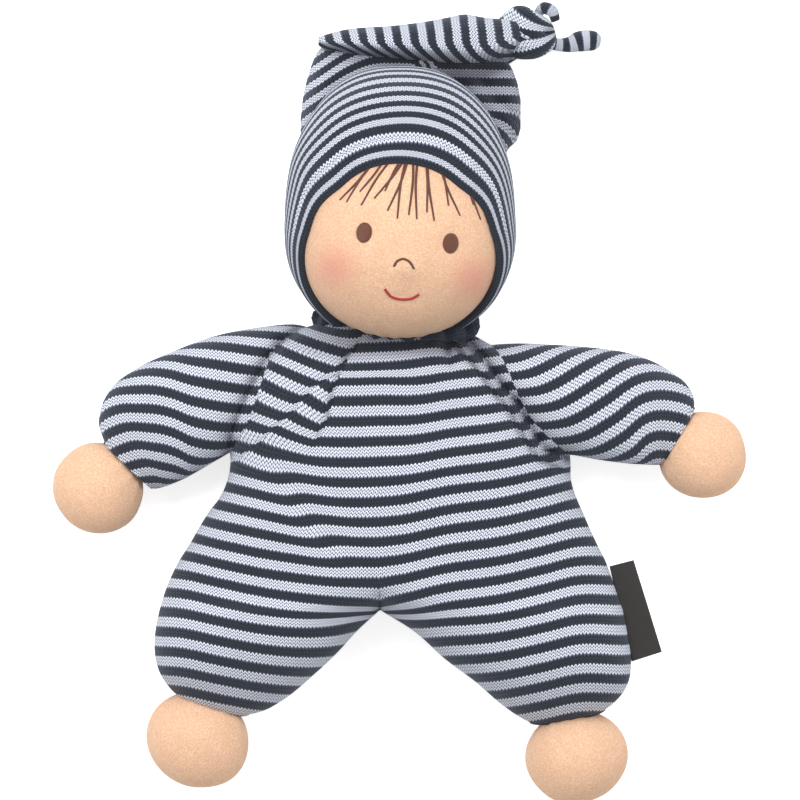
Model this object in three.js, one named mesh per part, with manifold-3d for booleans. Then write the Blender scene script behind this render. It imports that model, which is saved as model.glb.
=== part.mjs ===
// A stuffed jersey doll that lies on its back: +Z comes out of the chest, +Y points to the head.
// The origin is on the flat of the back. Lengths are in millimetres, angles in degrees.
import * as THREE from "three";
import { mergeVertices } from "three/addons/utils/BufferGeometryUtils.js";
import Module from "manifold-3d";

const wasm = await Module();
wasm.setup();

// Cloth and clearances
const jerseyWall = 1.2;
const velourWall = 1.2;
const seamGap = 0.35;
const swingGap = 0.6;
const restFlat = 0.5;
const tieMouthRadius = 3.2;
const tieSink = 0.8;
const cutOverrun = 220;

// Head, neck and the direction in which the neck leaves the body
const headRadius = 38.3;
const headX = 3.6;
const headY = 95.8;
const neckX = 1.5;
const neckY = 58;
const neckZ = 29;
const neckRadius = 13.5;
const neckTieGroove = 1.9;
const neckGrooveHalf = 1.4;
const neckRoom = 8;
const nodDown = 12;
const nodBack = -8;
const neckbandRadius = 2.3;
const neckbandHalfWidth = 28;
const neckbandHalfHeight = 19;
const neckbandY = 58.5;
const neckbandZ = 25;
const neckbandLean = 24;

// Face, as lengths on the head's surface from the point nearest the viewer
const faceTilt = 7;
const featureThickness = 0.5;
const eyeHalfWidth = 2.7;
const eyeHalfHeight = 3.6;
const leftEyeX = -12.6;
const leftEyeY = -1.5;
const rightEyeX = 17.6;
const rightEyeY = -5.1;
const noseX = 1.3;
const noseY = -10.8;
const noseHalfWidth = 3.6;
const noseRise = -3;
const mouthX = 0.7;
const mouthY = -24.4;
const mouthHalfWidth = 6.1;
const mouthRise = 3;
const strandWidth = 0.9;
const hairReachX = 31;
const hairReachY = 28;
const hairBandWidth = 3;
const hairFan = 75;

// Cap
const capGap = 1.8;
const capDomeHeight = 59.2;
const brimDistance = 17.2;
const brimTilt = 27;
const hemWidth = 2.4;
const hemRise = 0.6;
const foldLowX = -31.5;
const foldHighX = 46.4;
const foldLowY = 124;
const foldHighY = 174.5;
const foldThickness = 18;
const tailX = 32;
const tailY = 164;
const tailZ = 22;
const tailRootRadius = 8.4;
const tailEndRadius = 4.6;
const tailFlopUp = 60;
const tailFlopDown = -10;
const knotX = 50.5;
const knotY = 168.3;
const knotRadius = 9.6;
const knotHeight = 7.8;
const tipX = 75.5;
const tipY = 166.2;
const tipRadius = 4.6;
const tipEndRadius = 1.8;

// Trunk
const trunkTopY = 66;
const trunkLowY = -50;
const trunkHalfWidth = 82.5;
const trunkThickness = 26;
const crotchY = -40.3;
const neckLift = 10;

// Arms: the shoulder, the bend and the cuff of each sleeve
const shoulderRadius = 19;
const shoulderZ = 20.5;
const sleeveRadius = 20.6;
const cuffRadius = 12.4;
const raiseHighest = 60;
const raiseLowest = -12;
const sweepStep = 15;
const wristSetback = 8;
const handAxisZ = 16;

const leftArm = {
  side: "left",
  shoulderX: -50.5,
  shoulderY: 39,
  bendX: -80,
  bendY: 33,
  cuffX: -94.8,
  cuffY: 13.4,
  handX: -105.5,
  handY: 4.3,
  handRadius: 16.5,
};
const rightArm = {
  side: "right",
  shoulderX: 49,
  shoulderY: 34.5,
  bendX: 86,
  bendY: 36,
  cuffX: 103.4,
  cuffY: 23.6,
  handX: 113,
  handY: 16.2,
  handRadius: 15.6,
};

// Legs: the line of the groin, the tapering cover, the hem and the foot
const groinRadius = 25.3;
const legSwing = 33;
const legWedge = 90 - legSwing - 1;
const legThickness = 25.6;
const ankleSetback = 8;
const footHeight = 17.6;

const leftLeg = {
  side: "left",
  direction: -1,
  hipX: -82,
  hipY: -31,
  innerX: -5.4,
  legX: -42.5,
  legHalfWidth: 38.4,
  hemX: -62.6,
  hemY: -73.1,
  footX: -69.5,
  footY: -86.4,
  footHalfWidth: 19,
  footHalfLength: 17.2,
};
const rightLeg = {
  side: "right",
  direction: 1,
  hipX: 81.5,
  hipY: -33,
  innerX: -1.8,
  legX: 40.2,
  legHalfWidth: 42.3,
  hemX: 64,
  hemY: -76.7,
  footX: 67.3,
  footY: -92.5,
  footHalfWidth: 18.4,
  footHalfLength: 16.8,
};

// Side label
const labelLength = 34.5;
const labelWidth = 9.8;
const labelThickness = 0.6;
const labelX = 84.8;
const labelY = -41;
const labelZ = 24;
const labelLean = 14.9;

// Facets round a piece
const headSides = 24;
const trunkSides = 16;
const limbSides = 12;
const ballSides = 10;
const rootSides = 12;
const rootRows = 6;
const neckSides = 16;
const neckRows = 8;
const cordSides = 6;

const fullTurn = Math.PI * 2;
const up = new THREE.Vector3(0, 0, 1);
const headward = new THREE.Vector3(0, 1, 0);
const rightward = new THREE.Vector3(1, 0, 0);
const radians = THREE.MathUtils.degToRad;
const lerp = THREE.MathUtils.lerp;
const vector = (x, y, z) => new THREE.Vector3(x, y, z);

function solidOf(geometry) {
  const bare = geometry.clone();
  bare.deleteAttribute("normal");
  bare.deleteAttribute("uv");
  const merged = mergeVertices(bare);
  const vertProperties = new Float32Array(merged.attributes.position.array);
  const triVerts = new Uint32Array(merged.index.array);
  return new wasm.Manifold(new wasm.Mesh({ numProp: 3, vertProperties, triVerts }));
}

function geometryOf(solid) {
  const mesh = solid.getMesh();
  const geometry = new THREE.BufferGeometry();
  geometry.setAttribute("position", new THREE.BufferAttribute(new Float32Array(mesh.vertProperties), 3));
  geometry.setIndex(new THREE.BufferAttribute(new Uint32Array(mesh.triVerts), 1));
  geometry.computeVertexNormals();
  return geometry;
}

// A closed skin over rings of points, each ring in the order of a turn about the way it travels
function skinOver(rings) {
  const sides = rings[0].length;
  const points = rings.flat();
  const faces = [];
  const last = rings.length - 1;
  for (let row = 0; row < last; row++) {
    for (let side = 0; side < sides; side++) {
      const next = (side + 1) % sides;
      const a = row * sides + side;
      const b = row * sides + next;
      faces.push(a, b, b + sides, a, b + sides, a + sides);
    }
  }
  for (const row of [0, last]) {
    const middle = new THREE.Vector3();
    rings[row].forEach((point) => middle.addScaledVector(point, 1 / sides));
    points.push(middle);
    for (let side = 0; side < sides; side++) {
      const a = row * sides + side;
      const b = row * sides + ((side + 1) % sides);
      faces.push(points.length - 1, row ? a : b, row ? b : a);
    }
  }
  const geometry = new THREE.BufferGeometry();
  const places = points.flatMap((point) => point.toArray());
  geometry.setAttribute("position", new THREE.Float32BufferAttribute(places, 3));
  geometry.setIndex(faces);
  return solidOf(geometry);
}

// One oval ring: across and through are its half axes
function ovalRing(middle, across, through, sides) {
  return Array.from({ length: sides }, (_, side) => {
    const turn = (fullTurn * side) / sides;
    return middle.clone().addScaledVector(across, Math.cos(turn)).addScaledVector(through, Math.sin(turn));
  });
}

// A unit ball with corners at its lowest and highest places
function unitBall(sides) {
  return new THREE.SphereGeometry(1, sides, Math.ceil(sides / 4) * 2).rotateY(Math.PI / 2);
}

function oval(middle, halfX, halfY, halfZ, sides = ballSides) {
  return solidOf(unitBall(sides).scale(halfX, halfY, halfZ).translate(middle.x, middle.y, middle.z));
}

function ball(middle, radius, sides = ballSides) {
  return oval(middle, radius, radius, radius, sides);
}

// Everything on the side of a plane that its normal points to
function beyond(point, normal) {
  const side = cutOverrun * 2;
  const block = new THREE.BoxGeometry(side, side, side).translate(0, 0, cutOverrun);
  block.applyQuaternion(new THREE.Quaternion().setFromUnitVectors(up, normal.clone().normalize()));
  return solidOf(block.translate(point.x, point.y, point.z));
}

// A turned solid: its profile holds [along, radius] pairs, along the direction from the origin
function turned(profile, origin, direction, sides = ballSides) {
  const points = profile.map(([along, radius]) => new THREE.Vector2(radius, along));
  const geometry = new THREE.LatheGeometry(points, sides);
  const way = direction.clone().normalize();
  geometry.applyQuaternion(new THREE.Quaternion().setFromUnitVectors(headward, way));
  return solidOf(geometry.translate(origin.x, origin.y, origin.z));
}

// A ball of rows round an axis, on which a limb turns in its nest
function rootBall(middle, radius, axis, sides = rootSides, rows = rootRows, flare = 1) {
  const profile = Array.from({ length: rows + 1 }, (_, row) => {
    const angle = lerp(-Math.PI / 2, Math.PI / 2, row / rows);
    return [radius * Math.sin(angle), radius * Math.cos(angle) * flare];
  });
  return turned(profile, middle, axis, sides);
}

// The nest of a root ball, whose flats clear the ball's corners as it turns about its axis
function nestFor(middle, radius, axis, sides = rootSides, rows = rootRows) {
  return rootBall(middle, radius + seamGap, axis, sides, rows, 1 / Math.cos(Math.PI / sides));
}

// A round hollow whose flats clear a ball of the given radius that turns any way
function hollowFor(middle, radius, sides) {
  return ball(middle, (radius + seamGap) / Math.cos(Math.PI / sides) ** 2, sides);
}

function cutAway(solid, ...cutters) {
  return cutters.reduce((rest, cutter) => rest.subtract(cutter), solid);
}

const floorCut = beyond(vector(0, 0, 0), up.clone().negate());

const capRadius = headRadius + capGap + jerseyWall;
const headZ = capRadius - restFlat;
const headCentre = vector(headX, headY, headZ);
const neckPoint = vector(neckX, neckY, neckZ);
const neckWay = headCentre.clone().sub(neckPoint).normalize();

// Trunk rows from the neck down: place along the trunk, middle, half width and thickness as shares
const trunkRowShares = [
  [0, 0.02, 0.29, 0.58],
  [0.08, -0.01, 0.435, 0.79],
  [0.18, -0.035, 0.535, 0.9],
  [0.29, -0.02, 0.625, 0.95],
  [0.4, 0, 0.69, 0.97],
  [0.51, 0.035, 0.745, 0.99],
  [0.655, 0.02, 0.855, 1],
  [0.82, 0.005, 0.965, 0.99],
  [1, 0.005, 1, 0.94],
];

function trunkForm(inset, sides) {
  const rings = trunkRowShares.map(([placeShare, middleShare, widthShare, thicknessShare]) => {
    const y = lerp(trunkTopY - inset, trunkLowY, placeShare);
    const thickness = trunkThickness * thicknessShare;
    const lift = neckLift * Math.max(0, 1 - placeShare / trunkRowShares[3][0]);
    const middle = vector(trunkHalfWidth * middleShare, y, thickness + lift - restFlat);
    const across = rightward.clone().multiplyScalar(trunkHalfWidth * widthShare - inset);
    return ovalRing(middle, across, up.clone().multiplyScalar(thickness - inset), sides);
  });
  return skinOver(rings);
}

// Sleeve rows from the shoulder to the cuff: place on the sleeve's line, half thickness and half width as shares
const sleeveRowShares = [
  [0, 0.88, 0.9],
  [0.12, 0.93, 1.08],
  [0.3, 0.96, 1.16],
  [0.55, 0.94, 1.11],
  [0.72, 0.88, 1.05],
  [0.88, 0.78, 0.93],
  [1, 0.6, 0.6],
];

function armPlaces(arm) {
  const shoulder = vector(arm.shoulderX, arm.shoulderY, shoulderZ);
  const cuff = vector(arm.cuffX, arm.cuffY, handAxisZ);
  const bend = vector(arm.bendX, arm.bendY, sleeveRadius - restFlat);
  const hand = vector(arm.handX, arm.handY, arm.handRadius - restFlat);
  const line = new THREE.QuadraticBezierCurve3(shoulder, bend, cuff);
  const handWay = hand.clone().sub(vector(arm.cuffX, arm.cuffY, hand.z)).normalize();
  const wrist = hand.clone().addScaledVector(handWay, -wristSetback);
  const wristRadius = Math.sqrt(arm.handRadius ** 2 - wristSetback ** 2) + seamGap;
  const way = cuff.clone().sub(shoulder).setZ(0).normalize();
  return { shoulder, line, hand, handWay, wrist, wristRadius, way };
}

function sleeveForm(arm, inset, sides) {
  const { line } = armPlaces(arm);
  const rings = sleeveRowShares.map(([placeShare, thicknessShare, widthShare]) => {
    const tangent = line.getTangent(placeShare);
    const least = placeShare < 1 ? 0 : cuffRadius;
    const halfWidth = Math.max(sleeveRadius * widthShare, least) - inset;
    const thickness = Math.max(sleeveRadius * thicknessShare, least) - inset;
    const across = vector(tangent.y, -tangent.x, 0).normalize().multiplyScalar(halfWidth);
    const through = tangent.clone().cross(across).setLength(thickness);
    return ovalRing(line.getPoint(placeShare), across, through, sides);
  });
  return skinOver(rings);
}

function turnedAbout(solid, point, axis, degrees) {
  const turn = new THREE.Matrix4().makeRotationAxis(axis, radians(degrees));
  const there = new THREE.Matrix4().makeTranslation(point.x, point.y, point.z);
  const back = new THREE.Matrix4().makeTranslation(-point.x, -point.y, -point.z);
  return solidOf(geometryOf(solid).applyMatrix4(there.multiply(turn).multiply(back)));
}

const arms = [leftArm, rightArm].map((arm) => ({ ...arm, ...armPlaces(arm) }));

// Leg rows from the groin to the hem: place, middle between groin and hem, half width, thickness
const legRowShares = [
  [-0.35, 0, 1, 1],
  [0, 0, 1, 1],
  [0.3, 0.34, 0.89, 0.98],
  [0.55, 0.56, 0.775, 0.9],
  [0.8, 0.73, 0.6, 0.76],
  [0.96, 0.82, 0.46, 0.64],
  [1.1, 0.92, 0.38, 0.55],
];

function legPlaces(leg) {
  const hip = vector(leg.hipX, leg.hipY, groinRadius - restFlat);
  const inner = vector(leg.innerX, crotchY, groinRadius - restFlat);
  const groinWay = hip.clone().sub(inner).normalize();
  const groin = hip.clone().add(inner).multiplyScalar(0.5);
  const downWay = vector(groinWay.y * leg.direction, -groinWay.x * leg.direction, 0);
  const hem = vector(leg.hemX, leg.hemY, footHeight - restFlat);
  const foot = vector(leg.footX, leg.footY, footHeight - restFlat);
  const footWay = foot.clone().sub(hem).normalize();
  const ankle = foot.clone().addScaledVector(footWay, -ankleSetback);
  const ankleRadius = Math.sqrt(leg.footHalfWidth ** 2 - ankleSetback ** 2);
  return { hip, inner, groinWay, groin, downWay, hem, foot, footWay, ankle, ankleRadius };
}

const legs = [leftLeg, rightLeg].map((leg) => ({ ...leg, ...legPlaces(leg) }));

function legForm(leg, inset, sides) {
  const rings = legRowShares.map(([placeShare, middleShare, widthShare, thicknessShare]) => {
    const y = lerp(crotchY, leg.hemY, placeShare);
    const thickness = legThickness * thicknessShare;
    const middle = vector(lerp(leg.legX, leg.hemX, middleShare), y, thickness - restFlat);
    const across = rightward.clone().multiplyScalar(leg.legHalfWidth * widthShare - inset);
    return ovalRing(middle, across, up.clone().multiplyScalar(thickness - inset), sides);
  });
  return skinOver(rings);
}

// The barrel that turns in the groin: round about the line of the groin, pointed at both ends
const barrelRowShares = [-1, -0.95, -0.78, -0.4, 0.4, 0.78, 0.95, 1];

function groinBarrel(leg, growth, sides) {
  const half = leg.hip.distanceTo(leg.inner) / 2 + growth;
  const radius = groinRadius + growth;
  const profile = barrelRowShares.map((share) => {
    return [half * share, radius * Math.cbrt(1 - Math.abs(share) ** 3)];
  });
  return turned(profile, leg.groin, leg.groinWay, sides);
}

// The front and back planes through the groin within which the leg can swing
function legPlanes(leg, inset) {
  const lean = radians(legWedge);
  return [1, -1].map((front) => {
    const headwards = leg.downWay.clone().multiplyScalar(-Math.sin(lean));
    const normal = headwards.addScaledVector(up, front * Math.cos(lean));
    return beyond(leg.groin.clone().addScaledVector(normal, -inset), normal);
  });
}

// Angles from the lowest to the highest, close enough together to clear the way between them
function sweepAngles(lowest, highest) {
  const steps = Math.ceil((highest - lowest) / sweepStep);
  return Array.from({ length: steps + 1 }, (_, step) => lerp(lowest, highest, step / steps));
}

// Rows of the cap's fold from left to right: place, lower edge, upper edge and thickness as shares
const foldRowShares = [
  [0, 0.06, 0.24, 0.3],
  [0.04, 0.08, 0.58, 0.6],
  [0.09, 0.16, 0.78, 0.85],
  [0.18, 0.3, 0.88, 1],
  [0.45, 0.4, 0.95, 1],
  [0.6, 0.4, 0.97, 1],
  [0.74, 0.3, 1, 0.97],
  [0.85, 0.18, 1, 0.9],
  [0.92, 0.06, 0.91, 0.8],
  [0.96, 0, 0.75, 0.65],
  [1, 0.12, 0.5, 0.35],
];

// Strands of hair: root along the band, and end across and up the face, as shares
const hairShares = [
  [-0.52, -0.68, 0.36],
  [-0.36, -0.6, 0.33],
  [-0.32, -0.45, 0.46],
  [-0.22, -0.43, 0.29],
  [-0.13, -0.28, 0.37],
  [-0.07, -0.17, 0.47],
  [-0.02, -0.12, 0.22],
  [0.03, -0.02, 0.12],
  [0.08, 0.1, 0.16],
  [0.14, 0.2, 0.11],
  [0.19, 0.31, 0.19],
  [0.24, 0.39, 0.1],
  [0.3, 0.55, 0.28],
  [0.36, 0.68, 0.16],
  [0.47, 0.83, 0.3],
  [0.56, 0.92, 0.11],
  [0.63, 1, 0.08],
];
const strandShares = [0, 0.35, 0.7, 1];
const hairBandShares = [-1, -0.83, -0.67, -0.5, -0.33, -0.17, 0, 0.17, 0.33, 0.5, 0.67, 0.83, 1];
const bowShares = [-1, -0.6, -0.2, 0.2, 0.6, 1];
const taperShares = [0, 0.5, 1];

const group = new THREE.Group();
group.name = "soft_doll";

// Each piece's own origin is at the joint or centre that it turns about
function addPiece(name, solid, material, origin = vector(0, 0, 0)) {
  const mesh = new THREE.Mesh(geometryOf(solid).translate(-origin.x, -origin.y, -origin.z), material);
  mesh.name = name;
  mesh.position.copy(origin);
  group.add(mesh);
}

function cloth(color, roughness = 0.95) {
  return new THREE.MeshStandardMaterial({ color, roughness, metalness: 0 });
}

const stripedJersey = cloth(0x7a8496);
const plainJersey = cloth(0x343c48);
const velour = cloth(0xf6d6b2);
const hairThread = cloth(0x5f3228, 0.6);
const eyeThread = cloth(0x73462d, 0.5);
const mouthThread = cloth(0xa52323, 0.6);
const sewingThread = cloth(0xe8e2d4, 0.7);
const fibre = cloth(0xf4f2ec);
const labelCloth = cloth(0x2d2a2a, 0.8);

// The ball end of a hand or foot: the stuffed ball, and behind it the round root in the cuff or hem
function ballEnd(middle, way, joint, axis, halfSizes, rootRadius, inset) {
  const [halfX, halfY, halfZ] = halfSizes.map((half) => half - inset);
  const front = oval(middle, halfX, halfY, halfZ).subtract(beyond(joint, way.clone().negate()));
  return front.add(rootBall(joint, rootRadius - inset, axis));
}

function addBallEnd(name, middle, way, joint, axis, halfSizes, rootRadius) {
  const tieWay = way.clone().negate();
  const mouth = turned(
    [
      [0, 0],
      [0, tieMouthRadius],
      [rootRadius + velourWall, tieMouthRadius],
      [rootRadius + velourWall, 0],
    ],
    joint,
    tieWay,
  );
  const form = (inset) => ballEnd(middle, way, joint, axis, halfSizes, rootRadius, inset);
  const outer = form(0);
  const inner = form(velourWall);
  const filling = form(velourWall + seamGap);
  const tieRadius = tieMouthRadius - seamGap;
  const tieEnd = Math.sqrt(rootRadius ** 2 - tieMouthRadius ** 2) - tieSink;
  const plug = turned(
    [
      [rootRadius - velourWall, 0],
      [rootRadius - velourWall, tieRadius],
      [tieEnd, tieRadius],
      [tieEnd, 0],
    ],
    joint,
    tieWay,
  );
  addPiece(`${name}_skin`, cutAway(outer, inner, mouth, floorCut), velour, joint);
  addPiece(`${name}_stuffing`, filling, fibre, joint);
  addPiece(`${name}_tie`, plug, sewingThread, joint);
}

// Trunk, with the ways of the head, the arms and the legs cut into it
const headSweepRadius = capRadius + hemRise + swingGap;
const headWays = sweepAngles(nodBack, nodDown).map((angle) =>
  turnedAbout(hollowFor(headCentre, headSweepRadius, trunkSides), neckPoint, rightward, angle),
);
const neckNest = hollowFor(neckPoint, neckRadius, neckSides);
const armWays = arms.flatMap((arm) => {
  const upwards = arm.way.x > 0 ? 1 : -1;
  const room = sleeveForm(arm, -swingGap, limbSides);
  const sweep = sweepAngles(raiseLowest, raiseHighest).map((angle) =>
    turnedAbout(room, arm.shoulder, up, upwards * angle),
  );
  return [...sweep, nestFor(arm.shoulder, shoulderRadius, up)];
});

// The neckband: a flattened ring that leans forward under the chin
function neckbandForm(growth) {
  const ring = new THREE.TorusGeometry(neckbandHalfWidth, neckbandRadius + growth, cordSides, trunkSides);
  ring.rotateX(Math.PI / 2).scale(1, 1, neckbandHalfHeight / neckbandHalfWidth);
  return solidOf(ring.rotateX(radians(-neckbandLean)).translate(neckX, neckbandY, neckbandZ));
}

const groinRoom = (groinRadius + swingGap) / Math.cos(Math.PI / trunkSides) - groinRadius;
const legWays = legs.flatMap((leg) => [
  beyond(leg.groin, leg.downWay),
  groinBarrel(leg, groinRoom, trunkSides),
]);
const trunkWays = [neckNest, neckbandForm(seamGap), ...headWays, ...armWays, ...legWays, floorCut];
const trunkCover = trunkForm(0, trunkSides).subtract(trunkForm(jerseyWall, trunkSides));
const trunkFilling = trunkForm(jerseyWall + seamGap, trunkSides / 2);
const neckband = cutAway(neckbandForm(0), ...headWays, ...armWays, neckNest);
addPiece("neckband", neckband, plainJersey, neckPoint);
addPiece("suit_body", cutAway(trunkCover, ...trunkWays), stripedJersey);
addPiece("body_stuffing", cutAway(trunkFilling, ...trunkWays), fibre);

// Arms and hands
for (const arm of arms) {
  const nest = nestFor(arm.wrist, arm.wristRadius, up);
  const root = (inset) => rootBall(arm.shoulder, shoulderRadius - inset, up);
  const form = (inset) => sleeveForm(arm, inset, limbSides).add(root(inset));
  const cover = form(0).subtract(form(jerseyWall));
  const filling = form(jerseyWall + seamGap).subtract(nest);
  addPiece(`${arm.side}_sleeve`, cutAway(cover, nest, floorCut), stripedJersey, arm.shoulder);
  addPiece(`${arm.side}_arm_stuffing`, filling, fibre, arm.shoulder);
  const halfSizes = [arm.handRadius, arm.handRadius, arm.handRadius];
  addBallEnd(`${arm.side}_hand`, arm.hand, arm.handWay, arm.wrist, up, halfSizes, arm.wristRadius);
}

// Legs and feet
for (const leg of legs) {
  const ankleAxis = leg.footWay.clone().cross(up);
  const nest = nestFor(leg.ankle, leg.ankleRadius, ankleAxis);
  const form = (inset, sides) =>
    cutAway(legForm(leg, inset, sides), ...legPlanes(leg, inset)).add(groinBarrel(leg, -inset, sides));
  const cover = cutAway(form(0, trunkSides), beyond(leg.hem, leg.footWay), form(jerseyWall, trunkSides));
  const filling = form(jerseyWall + seamGap, trunkSides / 2).subtract(nest);
  addPiece(`${leg.side}_leg_cover`, cutAway(cover, nest, floorCut), stripedJersey, leg.groin);
  addPiece(`${leg.side}_leg_stuffing`, filling, fibre, leg.groin);
  const halfSizes = [leg.footHalfWidth, leg.footHalfLength, footHeight];
  const { foot, footWay, ankle, ankleRadius } = leg;
  addBallEnd(`${leg.side}_foot`, foot, footWay, ankle, ankleAxis, halfSizes, ankleRadius);
}

// Neck and its tie, and the band round it
const neckGroove = turned(
  [
    [-neckGrooveHalf, neckRadius - neckTieGroove],
    [-neckGrooveHalf, neckRadius + neckTieGroove],
    [neckGrooveHalf, neckRadius + neckTieGroove],
    [neckGrooveHalf, neckRadius - neckTieGroove],
    [-neckGrooveHalf, neckRadius - neckTieGroove],
  ],
  neckPoint,
  neckWay,
);
const neckTieHalf = neckGrooveHalf - seamGap;
const neckTieRing = turned(
  [
    [-neckTieHalf, neckRadius - neckTieGroove + seamGap],
    [-neckTieHalf, neckRadius - seamGap],
    [neckTieHalf, neckRadius - seamGap],
    [neckTieHalf, neckRadius - neckTieGroove + seamGap],
    [-neckTieHalf, neckRadius - neckTieGroove + seamGap],
  ],
  neckPoint,
  neckWay,
);
const neckBall = rootBall(neckPoint, neckRadius, neckWay, neckSides, neckRows);
addPiece("neck_stub", neckBall.subtract(neckGroove), velour, neckPoint);
addPiece("neck_tie", neckTieRing, sewingThread, neckPoint);

// Head, with the nest that the neck turns in
const headNest = nestFor(neckPoint, neckRadius, neckWay, neckSides, neckRows);
const headOuter = ball(headCentre, headRadius, headSides);
const headInner = ball(headCentre, headRadius - velourWall, headSides / 2);
const headFilling = ball(headCentre, headRadius - velourWall - seamGap, headSides / 2);
addPiece("head_skin", cutAway(headOuter, headInner, headNest), velour, headCentre);
addPiece("head_stuffing", headFilling.subtract(headNest), fibre, headCentre);

// A place on the head, from how far right and up of its middle it is seen from the front
function facePoint(x, y) {
  return vector(x, y, Math.sqrt(headRadius ** 2 - x ** 2 - y ** 2)).normalize();
}

// A raised oval on the head
function facePatch(x, y, halfWidth, halfHeight) {
  const outward = facePoint(x, y);
  const turn = radians(-faceTilt);
  const across = vector(Math.cos(turn), Math.sin(turn), 0).projectOnPlane(outward).setLength(halfWidth);
  const along = outward.clone().cross(across).setLength(halfHeight);
  const middle = outward.clone().multiplyScalar(headRadius);
  const edge = ovalRing(middle, across, along, limbSides);
  const rings = [seamGap, seamGap + featureThickness].map((rise) =>
    edge.map((point) => point.clone().setLength(headRadius + rise).add(headCentre)),
  );
  return skinOver(rings);
}

// A raised flat strand on the head, along directions from its middle
function strand(ways, width) {
  const rings = ways.map((way, step) => {
    const next = ways[Math.min(step + 1, ways.length - 1)];
    const last = ways[Math.max(step - 1, 0)];
    const side = way.clone().cross(next.clone().sub(last)).setLength(width / 2);
    const low = way.clone().setLength(headRadius + seamGap).add(headCentre);
    const high = way.clone().setLength(headRadius + seamGap + featureThickness).add(headCentre);
    return [low.clone().add(side), high.clone().add(side), high.clone().sub(side), low.clone().sub(side)];
  });
  return skinOver(rings);
}

// A bowed line across the face, rising in its middle
function faceBow(x, y, halfWidth, rise) {
  const turn = radians(-faceTilt);
  const ways = bowShares.map((share) => {
    const along = share * halfWidth;
    const lift = -rise * (1 - share ** 2);
    const right = along * Math.cos(turn) - lift * Math.sin(turn);
    return facePoint(x + right, y + along * Math.sin(turn) + lift);
  });
  return strand(ways, strandWidth);
}

addPiece("left_eye", facePatch(leftEyeX, leftEyeY, eyeHalfWidth, eyeHalfHeight), eyeThread, headCentre);
addPiece("right_eye", facePatch(rightEyeX, rightEyeY, eyeHalfWidth, eyeHalfHeight), eyeThread, headCentre);
addPiece("nose", faceBow(noseX, noseY + noseRise, noseHalfWidth, noseRise), hairThread, headCentre);
addPiece("mouth", faceBow(mouthX, mouthY + mouthRise, mouthHalfWidth, mouthRise), mouthThread, headCentre);

// Hair: strands that fan out from a band under the brim
const brimLean = radians(brimTilt);
const brimWay = vector(0, -Math.sin(brimLean), Math.cos(brimLean));
const brimUp = vector(0, Math.cos(brimLean), Math.sin(brimLean));

function brimPoint(angle, setback) {
  const radius = Math.sqrt(headRadius ** 2 - (brimDistance - setback) ** 2);
  return brimWay
    .clone()
    .multiplyScalar(brimDistance - setback)
    .addScaledVector(brimUp, radius * Math.cos(angle))
    .addScaledVector(rightward, radius * Math.sin(angle))
    .normalize();
}

const bandWays = hairBandShares.map((share) => brimPoint(radians(hairFan) * share, hairBandWidth));
const strands = hairShares.map(([rootShare, endXShare, endYShare]) => {
  const root = brimPoint(radians(hairFan) * rootShare, hairBandWidth);
  const end = facePoint(hairReachX * endXShare, hairReachY * endYShare);
  return strand(strandShares.map((share) => root.clone().lerp(end, share).normalize()), strandWidth);
});
const hairBand = strand(bandWays, hairBandWidth);
addPiece("hair", strands.reduce((all, one) => all.add(one), hairBand), hairThread, headCentre);

// Cap crown: a slack dome over the head, open at the face and at the neck
function dome(inset, sides) {
  const radius = capRadius - inset;
  const geometry = unitBall(sides).scale(radius, radius, radius);
  const places = geometry.attributes.position;
  const stretch = (capDomeHeight - inset) / radius;
  for (let index = 0; index < places.count; index++) {
    const y = places.getY(index);
    places.setY(index, y > 0 ? y * stretch : y);
  }
  return solidOf(geometry.translate(headCentre.x, headCentre.y, headCentre.z));
}

const brimMiddle = headCentre.clone().addScaledVector(brimWay, brimDistance);
const nape = turned(
  [
    [-capRadius, 0],
    [-capRadius, neckRadius + neckRoom],
    [0, neckRadius + neckRoom],
    [0, 0],
  ],
  headCentre,
  neckWay,
);
const crown = dome(0, headSides).subtract(dome(jerseyWall, headSides));
addPiece("cap_crown", cutAway(crown, beyond(brimMiddle, brimWay), nape, floorCut), stripedJersey, headCentre);

const hemLow = brimDistance + seamGap;
const hemHigh = hemLow + hemWidth;
const hemInside = headRadius + capGap;
const hemOutside = capRadius + hemRise;
const hemRing = turned(
  [
    [hemLow, Math.sqrt(hemInside ** 2 - hemLow ** 2)],
    [hemLow, Math.sqrt(hemOutside ** 2 - hemLow ** 2)],
    [hemHigh, Math.sqrt(hemOutside ** 2 - hemHigh ** 2)],
    [hemHigh, Math.sqrt(hemInside ** 2 - hemHigh ** 2)],
    [hemLow, Math.sqrt(hemInside ** 2 - hemLow ** 2)],
  ],
  headCentre,
  brimWay,
  headSides,
);
addPiece("cap_hem", hemRing.subtract(nape), plainJersey, headCentre);

// Cap fold: the slack cone that lies over behind the dome, with the root of the tail cut into it
const foldRings = foldRowShares.map(([placeShare, lowShare, highShare, thicknessShare]) => {
  const low = lerp(foldLowY, foldHighY, lowShare);
  const high = lerp(foldLowY, foldHighY, highShare);
  const thickness = foldThickness * thicknessShare;
  const x = lerp(foldLowX, foldHighX, placeShare);
  const middle = vector(x, (low + high) / 2, thickness - restFlat);
  const across = headward.clone().multiplyScalar((high - low) / 2);
  return ovalRing(middle, across, up.clone().multiplyScalar(thickness), limbSides);
});
const tailPoint = vector(tailX, tailY, tailZ);
const knotPoint = vector(knotX, knotY, knotHeight - restFlat);
const tipPoint = vector(tipX, tipY, tipRadius - restFlat);

// A cord of cloth between two places, tapering
function taper(start, end, startRadius, endRadius, growth = 0) {
  const way = end.clone().sub(start).normalize();
  const across = way.clone().cross(up).normalize();
  const through = way.clone().cross(across);
  return skinOver(
    taperShares.map((share) => {
      const radius = lerp(startRadius, endRadius, share) + growth;
      const middle = start.clone().lerp(end, share);
      return ovalRing(middle, across.setLength(radius), through.setLength(radius), limbSides);
    }),
  );
}

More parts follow.
